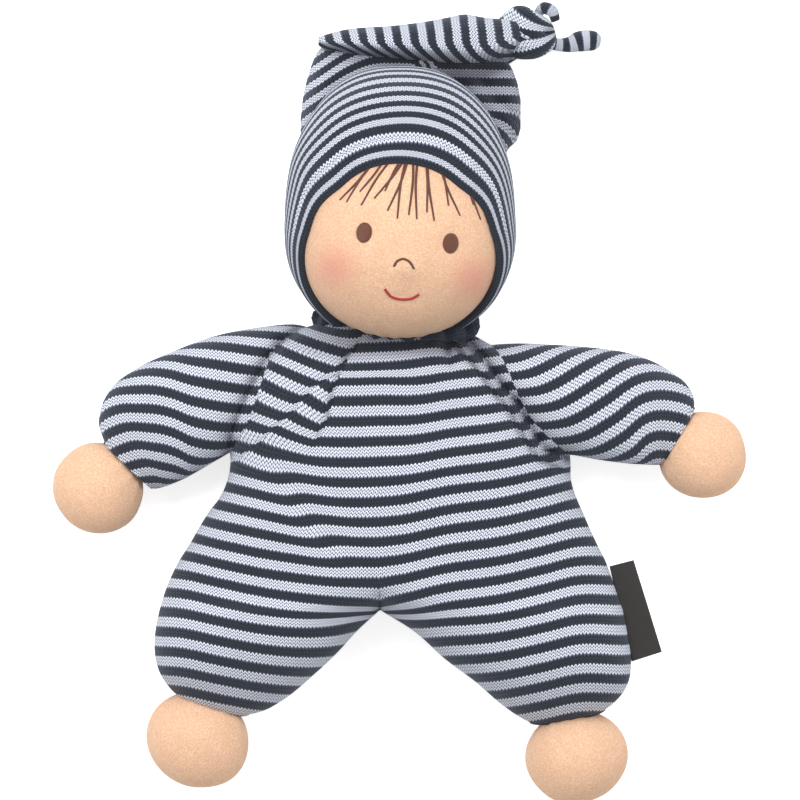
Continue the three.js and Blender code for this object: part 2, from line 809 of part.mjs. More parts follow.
const knotForm = (growth) =>
  oval(knotPoint, knotRadius + growth, knotRadius + growth, knotHeight + growth);
const tailForm = (growth) =>
  taper(tailPoint, knotPoint, tailRootRadius - seamGap, tailEndRadius, growth);
const tailNest = hollowFor(tailPoint, tailRootRadius, ballSides);
const tailWays = sweepAngles(tailFlopDown, tailFlopUp).flatMap((angle) =>
  [tailForm(swingGap), knotForm(swingGap)].map((room) => turnedAbout(room, tailPoint, headward, -angle)),
);
const foldSolid = cutAway(skinOver(foldRings), dome(-seamGap, headSides), tailNest, ...tailWays, floorCut);
addPiece("cap_fold", foldSolid, stripedJersey, tailPoint);
const tailSolid = tailForm(0).add(ball(tailPoint, tailRootRadius));
addPiece("cap_tail", tailSolid.subtract(knotForm(seamGap)), stripedJersey, tailPoint);
addPiece("cap_knot", knotForm(0).subtract(floorCut), stripedJersey, knotPoint);
const tipSolid = taper(knotPoint, tipPoint, tipRadius, tipEndRadius);
addPiece("cap_tip", cutAway(tipSolid, knotForm(seamGap), floorCut), stripedJersey, knotPoint);

// Side label: its long edge is sewn into the seam of the right leg
const labelTurn = radians(labelLean);
const labelHinge = vector(labelX, labelY, labelZ);
const label = new THREE.Mesh(
  new THREE.BoxGeometry(labelWidth, labelLength, labelThickness).translate(labelWidth / 2, 0, 0),
  labelCloth,
);
label.name = "side_label";
label.position.copy(labelHinge);
label.rotation.z = labelTurn;
group.add(label);

export default group;
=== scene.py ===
"""A stuffed jersey doll that lies on its back, seen from straight above its front.

Shapes are worked out in millimetres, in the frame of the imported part: +X to the viewer's right,
+Y towards the head, +Z out of the chest. Cloth coordinates are kept in the UV map "cloth":
U counts the columns of stitches and V counts the stripes, with a dark stripe on each whole number.
"""
import math

import bpy
import numpy as np
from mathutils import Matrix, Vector, noise


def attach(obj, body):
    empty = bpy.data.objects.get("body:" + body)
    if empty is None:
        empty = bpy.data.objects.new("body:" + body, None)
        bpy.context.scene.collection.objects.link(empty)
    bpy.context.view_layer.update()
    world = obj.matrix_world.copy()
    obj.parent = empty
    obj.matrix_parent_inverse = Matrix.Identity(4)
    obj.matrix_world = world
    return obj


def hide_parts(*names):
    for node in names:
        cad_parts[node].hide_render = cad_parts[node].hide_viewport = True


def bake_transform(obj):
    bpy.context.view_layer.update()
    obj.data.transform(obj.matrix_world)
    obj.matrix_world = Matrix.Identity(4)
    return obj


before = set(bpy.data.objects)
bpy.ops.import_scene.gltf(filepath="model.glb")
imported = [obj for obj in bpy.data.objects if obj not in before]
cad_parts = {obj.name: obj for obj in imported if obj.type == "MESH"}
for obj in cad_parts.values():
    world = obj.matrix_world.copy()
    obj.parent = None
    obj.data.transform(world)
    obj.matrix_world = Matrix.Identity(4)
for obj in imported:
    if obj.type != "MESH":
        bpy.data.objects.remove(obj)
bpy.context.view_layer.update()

MM = 0.001
STITCH_WIDTH = 1.34
STRIPE_PITCH = 7.06
COURSES_IN_STRIPE = 6
REST_HEIGHT = 0.4
REST_SOFTNESS = 2.5
OVAL_POWER = 2.25
UPWARD = np.array([0, 0, 1.0])


# ---- curves and easing ----


def eased(value):
    """A smooth step from 0 to 1."""
    value = np.clip(value, 0, 1)
    return value * value * (3 - 2 * value)


def bell(distance, width):
    """1 at no distance, falling to about a third at the width."""
    return np.exp(-((distance / width) ** 2))


def turns(count):
    """The angles of one whole turn, evenly spaced."""
    return np.linspace(0, 2 * math.pi, count, endpoint=False)


def profile(*pairs):
    """A smooth function through (place, value) pairs, flat beyond its ends."""
    places, values = np.array(sorted(pairs), float).T
    slopes = np.gradient(values, places)

    def value(place):
        place = np.clip(place, places[0], places[-1])
        index = np.clip(np.searchsorted(places, place) - 1, 0, len(places) - 2)
        span = places[index + 1] - places[index]
        t = (place - places[index]) / span
        rise = (3 - 2 * t) * t * t
        leave = t * (1 - t) ** 2 * span * slopes[index]
        arrive = t * t * (t - 1) * span * slopes[index + 1]
        return values[index] * (1 - rise) + values[index + 1] * rise + leave + arrive

    return value


def smooth_path(points, count):
    """Evenly spaced places on a smooth curve through the points."""
    points = np.array(points, float)
    gaps = np.linalg.norm(np.diff(points, axis=0), axis=1)
    places = np.concatenate([[0], np.cumsum(gaps)])
    curves = [profile(*zip(places, column)) for column in points.T]
    return np.stack([curve(np.linspace(0, places[-1], count)) for curve in curves], axis=-1)


def near_line(points, line):
    """Distance in plan from each point to a broken line, signed by side, and the share along it."""
    line = np.array(line, float)
    starts, spans = line[:-1], np.diff(line, axis=0)
    lengths = np.linalg.norm(spans, axis=1)
    before = np.concatenate([[0], np.cumsum(lengths)])
    best = np.full(len(points), np.inf)
    signed, share = np.zeros(len(points)), np.zeros(len(points))
    for start, span, length, reached in zip(starts, spans, lengths, before):
        offset = points[:, :2] - start
        t = np.clip(offset @ span / length**2, 0, 1)
        miss = offset - t[:, None] * span
        distance = np.linalg.norm(miss, axis=1)
        side = np.sign(span[0] * offset[:, 1] - span[1] * offset[:, 0])
        closer = distance < best
        best[closer] = distance[closer]
        signed[closer] = (distance * side)[closer]
        share[closer] = (reached + t[closer] * length) / before[-1]
    return signed, share


def settled(points):
    """Flattens softly what would lie below the resting surface."""
    height = points[..., 2] - REST_HEIGHT
    lifted = 0.5 * (height + np.sqrt(height**2 + REST_SOFTNESS**2)) + REST_HEIGHT
    points[..., 2] = np.where(height > 4 * REST_SOFTNESS, points[..., 2], lifted)
    return points


def outward(points, middle):
    """Unit ways from a middle to each point of a grid."""
    ways = points - middle
    return ways / np.linalg.norm(ways, axis=2)[..., None]


def lumps(points, size, height, seed):
    """Soft unevenness of stuffing, one value a point."""
    shift = Vector((seed * 13.7, seed * 7.3, seed * 3.1))
    flat = points.reshape(-1, 3)
    values = [noise.noise(Vector(point) / size + shift) for point in flat]
    return height * np.array(values).reshape(points.shape[:-1])


def lumpy(points, size, height, seed, ways=UPWARD):
    """Points moved along their ways by the unevenness of the stuffing."""
    return points + lumps(points, size, height, seed)[..., None] * ways


# ---- meshes ----


def vertex_normals(verts, quads):
    """Smooth normals, shared by corners at the same place even across pieces."""
    a, b, c, d = (verts[quads[:, k]] for k in range(4))
    face = np.cross(c - a, d - b)
    keys = np.round(verts * 1e4).astype(np.int64)
    _, same = np.unique(keys, axis=0, return_inverse=True)
    same = same.reshape(-1)
    total = np.zeros((same.max() + 1, 3))
    for k in range(4):
        np.add.at(total, same[quads[:, k]], face)
    total /= np.maximum(np.linalg.norm(total, axis=1), 1e-12)[:, None]
    return total[same]


def ring_quads(rows, columns):
    """Faces between neighbouring rows of a grid of points, and their corners in the cloth grid."""
    row, column = (grid.ravel() for grid in np.mgrid[:rows - 1, :columns])
    following = (column + 1) % columns
    quads = np.stack([row * columns + column, row * columns + following,
                      (row + 1) * columns + following, (row + 1) * columns + column], axis=1)
    wide = columns + 1
    cloth = np.stack([row * wide + column, row * wide + column + 1,
                      (row + 1) * wide + column + 1, (row + 1) * wide + column], axis=1)
    return quads, cloth


def make_piece(name, verts, faces, material, loops_uv=None, loop_normals=None):
    """A mesh object from corners in millimetres."""
    mesh = bpy.data.meshes.new(name)
    mesh.from_pydata((np.asarray(verts, float) * MM).tolist(), [], [list(map(int, f)) for f in faces])
    mesh.polygons.foreach_set("use_smooth", [True] * len(mesh.polygons))
    if loops_uv is not None:
        layer = mesh.uv_layers.new(name="cloth")
        layer.data.foreach_set("uv", np.asarray(loops_uv, np.float32).ravel())
    mesh.materials.append(material)
    if loop_normals is not None:
        mesh.normals_split_custom_set([tuple(n) for n in loop_normals])
    piece = bpy.data.objects.new(name, mesh)
    bpy.context.scene.collection.objects.link(piece)
    return piece


def skin(name, rings, cloth, material, normals=None):
    """A closed skin over rings of points, with a fan over each end.

    rings is rows x columns x 3; cloth is rows x (columns + 1) x 2, so that it can wrap round, or None."""
    rows, columns = rings.shape[:2]
    cloth = np.zeros((rows, columns + 1, 2)) if cloth is None else cloth
    verts = rings.reshape(-1, 3)
    quads, corners = ring_quads(rows, columns)
    ends = np.stack([rings[0].mean(axis=0), rings[-1].mean(axis=0)])
    first, last = len(verts), len(verts) + 1
    around = np.arange(columns)
    following = (around + 1) % columns
    tail = (rows - 1) * columns
    fans = [(first, b, a) for a, b in zip(around, following)]
    fans += [(last, tail + a, tail + b) for a, b in zip(around, following)]
    cloth_flat = cloth.reshape(-1, 2)
    uv = [cloth_flat[corners].reshape(-1, 2)]
    for row in (0, rows - 1):
        middle = cloth[row].mean(axis=0)
        for a in around:
            pair = (cloth[row, a + 1], cloth[row, a]) if row == 0 else (cloth[row, a], cloth[row, a + 1])
            uv.append(np.array([middle, *pair]))
    if normals is None:
        normals = vertex_normals(verts, quads)
    fan_normals = []
    every = np.vstack([verts, ends])
    for fan in fans:
        a, b, c = every[list(fan)]
        across = np.cross(b - a, c - a)
        fan_normals += [across / max(np.linalg.norm(across), 1e-9)] * 3
    loop_normals = np.vstack([normals[quads].reshape(-1, 3), np.array(fan_normals)])
    return make_piece(name, every, [*quads, *fans], material, np.vstack(uv), loop_normals)


def keep_painted_shade(piece, values):
    """Keeps with a skin its painted shade, from 0 to 1, for folds and overhangs; its cloth is painted darker
    there.
    """
    layer = piece.data.attributes.new("shade", "FLOAT", "POINT")
    values = np.concatenate([np.ravel(values), [0, 0]])
    layer.data.foreach_set("value", np.clip(values, 0, 1).astype(np.float32))
    return piece


def oval(middle, across, through, columns):
    """One ring: it starts at minus across, comes over the front and goes back behind."""
    turn = turns(columns)
    side = -np.cos(turn)
    front = np.sign(np.sin(turn)) * crown(side)
    return middle + side[:, None] * across + front[:, None] * through


def crown(side, power=OVAL_POWER):
    """Height of an oval's edge, 0 to 1, over its width from -1 to 1."""
    return np.maximum(0, 1 - np.abs(np.clip(side, -1, 1)) ** power) ** (1 / power)


def ring_lengths(rings):
    """Length round each ring from its first column, with the wrap at the end."""
    closed = np.concatenate([rings, rings[:, :1]], axis=1)
    steps = np.linalg.norm(np.diff(closed, axis=1), axis=2)
    return np.concatenate([np.zeros((len(rings), 1)), np.cumsum(steps, axis=1)], axis=1)


def tube(name, points, radius, material, sides, flat):
    """Thread or a roll of cloth along a path; radius may change along it, and flat is its height for its width."""
    points = np.asarray(points, float)
    radius = np.broadcast_to(radius, len(points))
    way = np.gradient(points, axis=0)
    way /= np.linalg.norm(way, axis=1)[:, None]
    across = np.cross(way, UPWARD)
    across /= np.maximum(np.linalg.norm(across, axis=1), 1e-6)[:, None]
    through = np.cross(way, across)
    turn = turns(sides)
    rings = points[:, None] + radius[:, None, None] * (
        np.cos(turn)[None, :, None] * across[:, None] + flat * np.sin(turn)[None, :, None] * through[:, None])
    reached = np.concatenate([[0], np.cumsum(np.linalg.norm(np.diff(points, axis=0), axis=1))])
    cloth = np.stack(np.meshgrid(reached, np.arange(sides + 1) / sides, indexing="ij"), axis=-1)
    return skin(name, rings, cloth, material)


# ---- materials ----


def paint(red, green, blue):
    """A display colour, 0 to 255, as the linear colour that a shader takes."""
    shares = (channel / 255 for channel in (red, green, blue))
    return (*(s / 12.92 if s <= 0.04045 else ((s + 0.055) / 1.055) ** 2.4 for s in shares), 1)


def feed(tree, socket, value):
    """Links an output to a socket, or sets the socket to a number."""
    if isinstance(value, bpy.types.NodeSocket):
        tree.links.new(value, socket)
    else:
        socket.default_value = value


def node(tree, kind, feeds=(), **settings):
    """A new node with its settings; feeds are pairs of an input and what goes into it."""
    made = tree.nodes.new(kind)
    for name, value in settings.items():
        setattr(made, name, value)
    for socket, value in feeds:
        feed(tree, made.inputs[socket], value)
    return made


def sums(tree, operation, *values, clamp=False):
    return node(tree, "ShaderNodeMath", enumerate(values), operation=operation, use_clamp=clamp).outputs[0]


def ramp(tree, value, low, high):
    """A value brought to 0 at low and 1 at high, smoothly."""
    feeds = (("Value", value), ("From Min", low), ("From Max", high))
    return node(tree, "ShaderNodeMapRange", feeds, interpolation_type="SMOOTHSTEP").outputs["Result"]


def speckle(tree, place, scale, detail=2.0, roughness=0.5):
    feeds = (("Vector", place), ("Scale", scale), ("Detail", detail), ("Roughness", roughness))
    return node(tree, "ShaderNodeTexNoise", feeds).outputs["Fac"]


def blend_colours(tree, share, first, second, mode="MIX"):
    feeds = ((0, share), (6, first), (7, second))
    return node(tree, "ShaderNodeMix", feeds, data_type="RGBA", blend_type=mode).outputs[2]


def split(tree, vector):
    return node(tree, "ShaderNodeSeparateXYZ", [(0, vector)]).outputs


def new_group(name, inputs, outputs):
    """A group of nodes; inputs and outputs are pairs of a label and a kind."""
    tree = bpy.data.node_groups.new(name, "ShaderNodeTree")
    for way, sockets in (("INPUT", inputs), ("OUTPUT", outputs)):
        for label, kind in sockets:
            tree.interface.new_socket(label, in_out=way, socket_type="NodeSocket" + kind)
    return tree, node(tree, "NodeGroupInput").outputs, node(tree, "NodeGroupOutput").inputs


# Knitting, in shares of a stripe's pitch: how far the arms of the V lean, and where the light stripe is
STITCH_LEAN = 0.74
LIGHT_PLACE, LIGHT_EDGE = 0.44, (0.225, 0.275)
# Height of the two arms of a stitch over its loop, and the heights between which a gap closes
ARM_HEIGHT, GAP_HEIGHTS = 0.55, (0.55, 1.2)
STITCH_UNEVENNESS, YARN_RELIEF = 0.05, 0.00022


def knit_group():
    """Plain knitting: columns of V stitches, the stripes that they make, and the gaps between them."""
    tree, given, wanted = new_group(
        "knit stitches", [("Cloth", "Vector"), ("Courses", "Float"), ("Unevenness", "Float")],
        [("Light stripe", "Float"), ("Height", "Float"), ("Gap", "Float")])
    place = split(tree, given["Cloth"])
    wander = speckle(tree, given["Cloth"], 0.9)
    drift = sums(tree, "MULTIPLY", sums(tree, "SUBTRACT", wander, 0.5), given["Unevenness"])
    stripe = sums(tree, "ADD", place["Y"], drift)
    column = sums(tree, "FRACT", place["X"])
    edge = sums(tree, "MULTIPLY", sums(tree, "ABSOLUTE", sums(tree, "SUBTRACT", column, 0.5)), 2.0)
    lean = sums(tree, "DIVIDE", sums(tree, "MULTIPLY", edge, STITCH_LEAN), given["Courses"])
    leaning = sums(tree, "ADD", stripe, lean)
    within = sums(tree, "FRACT", sums(tree, "ADD", leaning, LIGHT_PLACE))
    from_dark = sums(tree, "ABSOLUTE", sums(tree, "SUBTRACT", within, 0.5))
    feed(tree, wanted["Light stripe"], ramp(tree, from_dark, *LIGHT_EDGE))
    course = sums(tree, "FRACT", sums(tree, "MULTIPLY", leaning, given["Courses"]))
    loop = sums(tree, "SINE", sums(tree, "MULTIPLY", course, math.pi))
    half = sums(tree, "FRACT", sums(tree, "MULTIPLY", column, 2.0))
    arm = sums(tree, "SINE", sums(tree, "MULTIPLY", half, math.pi))
    raised = sums(tree, "ADD", loop, sums(tree, "MULTIPLY", arm, ARM_HEIGHT))
    feed(tree, wanted["Height"], raised)
    feed(tree, wanted["Gap"], sums(tree, "SUBTRACT", 1.0, ramp(tree, raised, *GAP_HEIGHTS)))
    return tree


def nap_group():
    """The short pile of velour: fine tufts, and soft patches where it is brushed."""
    tree, given, wanted = new_group(
        "velour nap", [("Place", "Vector")], [("Tufts", "Float"), ("Patches", "Float")])
    feed(tree, wanted["Tufts"], speckle(tree, given["Place"], 1500, 3.0, 0.65))
    feed(tree, wanted["Patches"], speckle(tree, given["Place"], 190, 2.0, 0.6))
    return tree


def twist_group():
    """Embroidery thread: fine strands that wind round its length."""
    tree, given, wanted = new_group(
        "thread twist", [("Cloth", "Vector"), ("Turn length", "Float")], [("Strands", "Float")])
    place = split(tree, given["Cloth"])
    wound = sums(tree, "ADD", sums(tree, "DIVIDE", place["X"], given["Turn length"]), place["Y"])
    wave = sums(tree, "SINE", sums(tree, "MULTIPLY", wound, math.pi))
    feed(tree, wanted["Strands"], sums(tree, "ABSOLUTE", wave))
    return tree


KNIT, NAP, TWIST = knit_group(), nap_group(), twist_group()


def use_group(tree, group, **values):
    feeds = [(name.replace("_", " "), value) for name, value in values.items()]
    return node(tree, "ShaderNodeGroup", feeds, node_tree=group).outputs


def new_material(name, roughness, sheen=0.0, sheen_roughness=0.5, sheen_tint=(1, 1, 1, 1), specular=0.3):
    made = bpy.data.materials.new(name)
    made.use_nodes = True
    shader = made.node_tree.nodes["Principled BSDF"]
    for label, value in (("Roughness", roughness), ("Sheen Weight", sheen), ("Sheen Tint", sheen_tint),
                         ("Sheen Roughness", sheen_roughness), ("Specular IOR Level", specular)):
        shader.inputs[label].default_value = value
    return made, made.node_tree, shader


def surface(tree, shader, colour, height, relief):
    """Gives a material its colour, and the relief of its height in metres."""
    feed(tree, shader.inputs["Base Color"], colour)
    bump = node(tree, "ShaderNodeBump", (("Distance", relief), ("Strength", 1.0), ("Height", height)))
    feed(tree, shader.inputs["Normal"], bump.outputs["Normal"])


def cloth_place(tree):
    return node(tree, "ShaderNodeUVMap", uv_map="cloth").outputs["UV"]


def kept_value(tree, name):
    """A value that the mesh keeps at its corners."""
    return node(tree, "ShaderNodeAttribute", attribute_name=name).outputs["Fac"]


# The colour that fluff darkens the yarn towards at random, and the colour of the painted shade in folds and under
# overhangs
FLUFF_SHADE, PAINTED_FOLD_SHADE = (0.7, 0.72, 0.78, 1), (0.16, 0.15, 0.17, 1)


def jersey(name, dark, light, gap_dark, gap_light, striped=True):
    """Fine cotton jersey; its stitches come from the cloth coordinates, and its painted shade from the mesh's
    shade value.
    """
    made, tree, shader = new_material(name, 0.92, 0.25, 0.5, paint(190, 200, 220), 0.2)
    place = cloth_place(tree)
    knit = use_group(tree, KNIT, Cloth=place, Courses=float(COURSES_IN_STRIPE), Unevenness=STITCH_UNEVENNESS)
    fluff = speckle(tree, place, 6.0, 4.0, 0.7)
    dark_yarn = blend_colours(tree, knit["Gap"], paint(*dark), paint(*gap_dark))
    light_yarn = blend_colours(tree, knit["Gap"], paint(*light), paint(*gap_light))
    yarn = blend_colours(tree, knit["Light stripe"], dark_yarn, light_yarn) if striped else dark_yarn
    shade = blend_colours(tree, sums(tree, "MULTIPLY", fluff, 0.5), (1, 1, 1, 1), FLUFF_SHADE)
    yarn = blend_colours(tree, 1.0, yarn, shade, "MULTIPLY")
    # Painted shade: the yarn is multiplied towards a dark colour where the mesh's shade value is high
    yarn = blend_colours(tree, kept_value(tree, "shade"), yarn, PAINTED_FOLD_SHADE, "MULTIPLY")
    height = sums(tree, "ADD", knit["Height"], sums(tree, "MULTIPLY", fluff, 0.35))
    surface(tree, shader, yarn, height, YARN_RELIEF)
    return made


# How deep the nap, a thread and the tape stand out, in metres
NAP_RELIEF, THREAD_RELIEF, TAPE_RELIEF = 0.00035, 0.00008, 0.00006
TAPE_THREAD = 0.34


def velour(name, colour, deep, blush):
    """Short velour, rosy where the mesh's blush value says."""
    made, tree, shader = new_material(name, 0.88, 0.35, 0.45, paint(255, 236, 214), 0.2)
    place = node(tree, "ShaderNodeTexCoord").outputs["Object"]
    nap = use_group(tree, NAP, Place=place)
    rosy = kept_value(tree, "blush")
    tone = blend_colours(tree, ramp(tree, nap["Tufts"], 0.42, 0.62), paint(*deep), paint(*colour))
    brushed = sums(tree, "MULTIPLY", ramp(tree, nap["Patches"], 0.35, 0.7), 0.22)
    tone = blend_colours(tree, brushed, tone, paint(*deep))
    tone = blend_colours(tree, rosy, tone, paint(*blush))
    height = sums(tree, "ADD", nap["Tufts"], sums(tree, "MULTIPLY", nap["Patches"], 0.8))
    surface(tree, shader, tone, height, NAP_RELIEF)
    return made


def thread(name, colour, deep, turn_length, roughness=0.5):
    """Embroidery thread with a soft shine."""
    made, tree, shader = new_material(name, roughness, 0.2, 0.4, (1, 1, 1, 1), 0.35)
    strands = use_group(tree, TWIST, Cloth=cloth_place(tree), Turn_length=turn_length)["Strands"]
    surface(tree, shader, blend_colours(tree, strands, paint(*deep), paint(*colour)), strands, THREAD_RELIEF)
    return made


def woven_tape(name, colour, deep):
    """Close woven tape: threads over and under each other."""
    made, tree, shader = new_material(name, 0.75, 0.15)
    place = split(tree, cloth_place(tree))
    waves = [sums(tree, "SINE", sums(tree, "MULTIPLY", place[axis], 2 * math.pi / TAPE_THREAD))
             for axis in ("X", "Y")]
    weave = sums(tree, "ADD", sums(tree, "MULTIPLY", sums(tree, "MULTIPLY", *waves), 0.5), 0.5)
    surface(tree, shader, blend_colours(tree, weave, paint(*deep), paint(*colour)), weave, TAPE_RELIEF)
    return made


STRIPED = jersey("striped jersey", (50, 56, 66), (238, 242, 250), (24, 28, 35), (80, 90, 122))
NAVY = jersey("navy jersey", (47, 53, 64), (47, 53, 64), (24, 28, 37), (24, 28, 37), striped=False)
VELOUR = velour("peach velour", (239, 202, 171), (225, 179, 146), (224, 149, 131))
HAIR_THREAD = thread("brown hair thread", (104, 62, 50), (62, 34, 28), 0.9)
EYE_THREAD = thread("brown eye thread", (112, 66, 44), (70, 38, 26), 0.4, 0.42)
MOUTH_THREAD = thread("red mouth thread", (178, 44, 40), (120, 22, 24), 0.8)
LABEL_CLOTH = woven_tape("dark woven tape", (62, 58, 57), (38, 35, 35))


# ---- suit: shape of trunk and legs ----

QUARTER = 56
ROW_STEP = 1.1
TRUNK_TOP = 68
CROTCH_X, CROTCH_Y = -3.6, -39.6
FORK_START = -4
FORK_POWER = 9

LEFT_SIDE = profile((68, -9), (66, -16), (64, -24), (62, -31), (59, -40), (55, -48), (50, -54),
                    (44, -58), (37, -60.5), (30, -61), (24, -60), (18, -57.8), (7, -58.6), (1, -61.2),
                    (-4, -65), (-10, -68.8), (-16, -72.2), (-22, -76), (-28, -79), (-33, -81),
                    (-39.6, -83))
RIGHT_SIDE = profile((68, 11), (66, 17), (63, 24), (60, 29), (56, 36), (52, 43), (47, 50), (41, 55.5),
                     (35, 59), (27, 62.5), (20, 64.3), (14, 65), (7, 65.2), (1, 67), (-4, 69.2),
                     (-10, 71.8), (-16, 74.6), (-22, 77.6), (-28, 79.8), (-33, 81.4), (-39.6, 83.8))
HALF_THICKNESS = profile((68, 9), (66, 12.5), (62, 17), (57, 20), (45, 23.4), (32, 24.7), (7, 25.7),
                         (-10, 26), (-25, 26), (-39.6, 25.6))
MIDDLE_HEIGHT = profile((68, 27), (57, 27), (45, 26), (32, 25), (7, 25.3), (-10, 25.6), (-39.6, 25.2))
FRONT_HEIGHT = profile((68, 36), (62, 44), (57, 47), (45, 49.4), (32, 49.7), (7, 51), (-10, 51.6),
                       (-39.6, 50.8), (-50, 49.5), (-60, 45), (-67, 39), (-72, 33), (-77, 25), (-84, 14))

# How far the stripes stand above their height at the middle of the suit, across the suit
STRIPE_RISE = profile((-90, 8), (-75, 8), (-60, 5), (-45, 2), (-25, -0.3), (-10, -0.3), (5, 0.7), (20, 3.7),
                      (40, 6.6), (55, 10), (67, 12.8), (84, 12.2))
# Beside the fork the legs' stripes stand higher: how much, and over which distance
CROTCH_PULL, CROTCH_REACH = 7, 15
# From here to the hem the stripes are spaced as they look from the front
LEG_PLACE = -45
# The share of a ring's depth that counts in its length, for stitches and for the sleeves' stripes
CLOTH_DEPTH = 0.6
CHEST_DROP = profile((3.6, 0), (12.6, 0.7), (19.8, 1.1), (27, 1.45), (34.2, 1.9), (41.4, 2.3),
                     (46.8, 3), (54, 3.8))

# The pleat on the left of the chest: its left and right edges
PLEAT_LEFT = ((-13.7, 53), (-22.3, 44), (-27, 40.7), (-31.7, 36), (-36, 30.6), (-39.6, 27), (-45, 22.7))
PLEAT_RIGHT = ((-13.7, 53), (-18, 45), (-20.2, 37.8), (-22.3, 28.8), (-24.8, 24.1), (-27, 18))
LEFT_SEAM = ((-30, 64), (-38.5, 56.5), (-43.9, 50.8), (-47, 44.6), (-50.6, 38.2), (-53.6, 31.3),
             (-56, 24.5), (-57.8, 17))
RIGHT_SEAM = ((26, 58), (34.2, 49.3), (40.3, 40.7), (45, 35.3), (49.7, 26.6), (55.4, 18), (63.7, 14.4))
NECK_PLEAT = ((20.6, 56), (21.4, 50), (22.3, 43.5))
ARMPIT_FOLD = ((-46, 21), (-36.4, 5.8), (-29.9, -6.8), (-19.8, -18), (-11, -28))
GATHERS = (-24, -17, -11, -5.5, 0.5, 6.5, 12.5, 28, 33)

# Each crease: its line in plan, half width, depth, and where along it the crease is deep
CREASES = (
    (LEFT_SEAM, 1.7, 2.4, "all"),
    (RIGHT_SEAM, 2.0, 3.0, "all"),
    (np.array(RIGHT_SEAM) - (3.0, 2.4), 1.1, 1.4, "all"),
    (NECK_PLEAT, 2.2, 3.2, "start"),
    (PLEAT_LEFT, 1.6, 1.7, "start"),
    (ARMPIT_FOLD, 5.0, 1.1, "middle"),
    (((-3.4, -39.6), (-4.5, -33), (-8, -25)), 3.0, 2.2, "start"),
    (((-3.4, -39.6), (1, -35), (7, -31)), 2.2, 1.0, "start"),
    (PLEAT_RIGHT, 1.5, 1.2, "start"),
    *((((x, 62), (x * 1.12, 46)), 1.5, 1.3, "start") for x in GATHERS),
)
# Outside a shoulder's seam the sleeve dips: how deep, and over which distances it sinks and rises again
SEAM_DIP, SEAM_SINK, SEAM_RISE = 1.8, 0.8, 4.2
# The left half of the chest's pleat stands out: how far, and over which distances it rises and falls
PLEAT_STANDS, PLEAT_RISE, PLEAT_FALL = 1.9, 1.2, 6
# How the stripes slant on the pleat and left of it, low and more so high, and their steps at its edges
PLEAT_SLANT, PLEAT_STEP = (0.24, 0.32), 3.5
BESIDE_SLANT, BESIDE_STEP, BESIDE_REACH = (0.01, 0.24), 1.9, 24
# Over the fork the stripes pinch and sag: depth, half width and height
PINCH, SAG = (2.8, 3.2, 6), (1.6, 15, 24)
# The pleat under the neck pulls stripes down, and the armpit's fold shears them: depth, then distances
NECK_PULL, NECK_PULL_REACH = 3.2, 3.2
FOLD_SHEAR, FOLD_SHEAR_TURN, FOLD_SHEAR_REACH = 1.4, 4, 9
# A narrow band lies along the right shoulder's seam: how wide it is, and how far the stripes step on it; a line of
# painted shade runs along its inner edge
RIGHT_BAND, BAND_STEP = 3.8, 1.7
STRIPES_TIGHTER, STRIPES_TIGHTER_REACH = 0.1, 36
PUCKER_LENGTH, PUCKER_HEIGHT, PUCKER_REACH = 5.6, 0.9, 4.5
FRONT_FROM = 22


def depth_along(share, where):
    """How deep a crease is at a share of its length."""
    if where == "start":
        return 1 - eased(share)
    if where == "middle":
        return np.sin(math.pi * share)
    return np.ones_like(share)


def stripe_reach():
    """Lengths over the front of the suit, from its middle, for a place towards the head.

    The legs' stripes stay equally wide in plan, down to the hem."""
    places = np.linspace(-100, 80, 361)
    steps = np.hypot(np.diff(places), np.diff(FRONT_HEIGHT(np.maximum(places, LEG_PLACE))))
    reach = np.concatenate([[0], np.cumsum(steps)])
    return places, reach - np.interp(0, places, reach)


REACH_PLACES, REACH = stripe_reach()


def chest_slant(plan):
    """How far the pleat on the left of the chest moves the stripes, and what lies left of it."""
    height = plan[:, 1]
    steep = eased((height - 20) / 26)
    side, share = near_line(plan, PLEAT_RIGHT)
    left = np.where(side < 0, -side, 0)
    side, _ = near_line(plan, PLEAT_LEFT)
    beyond = np.clip(-side, 0, left)
    step = PLEAT_STEP * (1 - eased((share - 0.7) / 0.4)) * eased(left / PLEAT_RISE)
    moved = (PLEAT_SLANT[0] + PLEAT_SLANT[1] * steep) * (left - beyond) - step
    moved += (BESIDE_SLANT[0] + BESIDE_SLANT[1] * steep ** 2) * np.minimum(beyond, BESIDE_REACH)
    moved -= BESIDE_STEP * eased(beyond / 0.7)
    return moved * eased((height - 8) / 20) * (left > 0)


def chest_drop(plan):
    """The chest leans back towards the neck, so its upper stripes lie lower in plan."""
    x, y = plan.T
    right = eased((x + 5) / 22)
    by_pleat = near_line(plan, PLEAT_RIGHT)[0] > 0
    return CHEST_DROP(y) * right + 3 * eased((y - 41) / 8) * (1 - right) * by_pleat


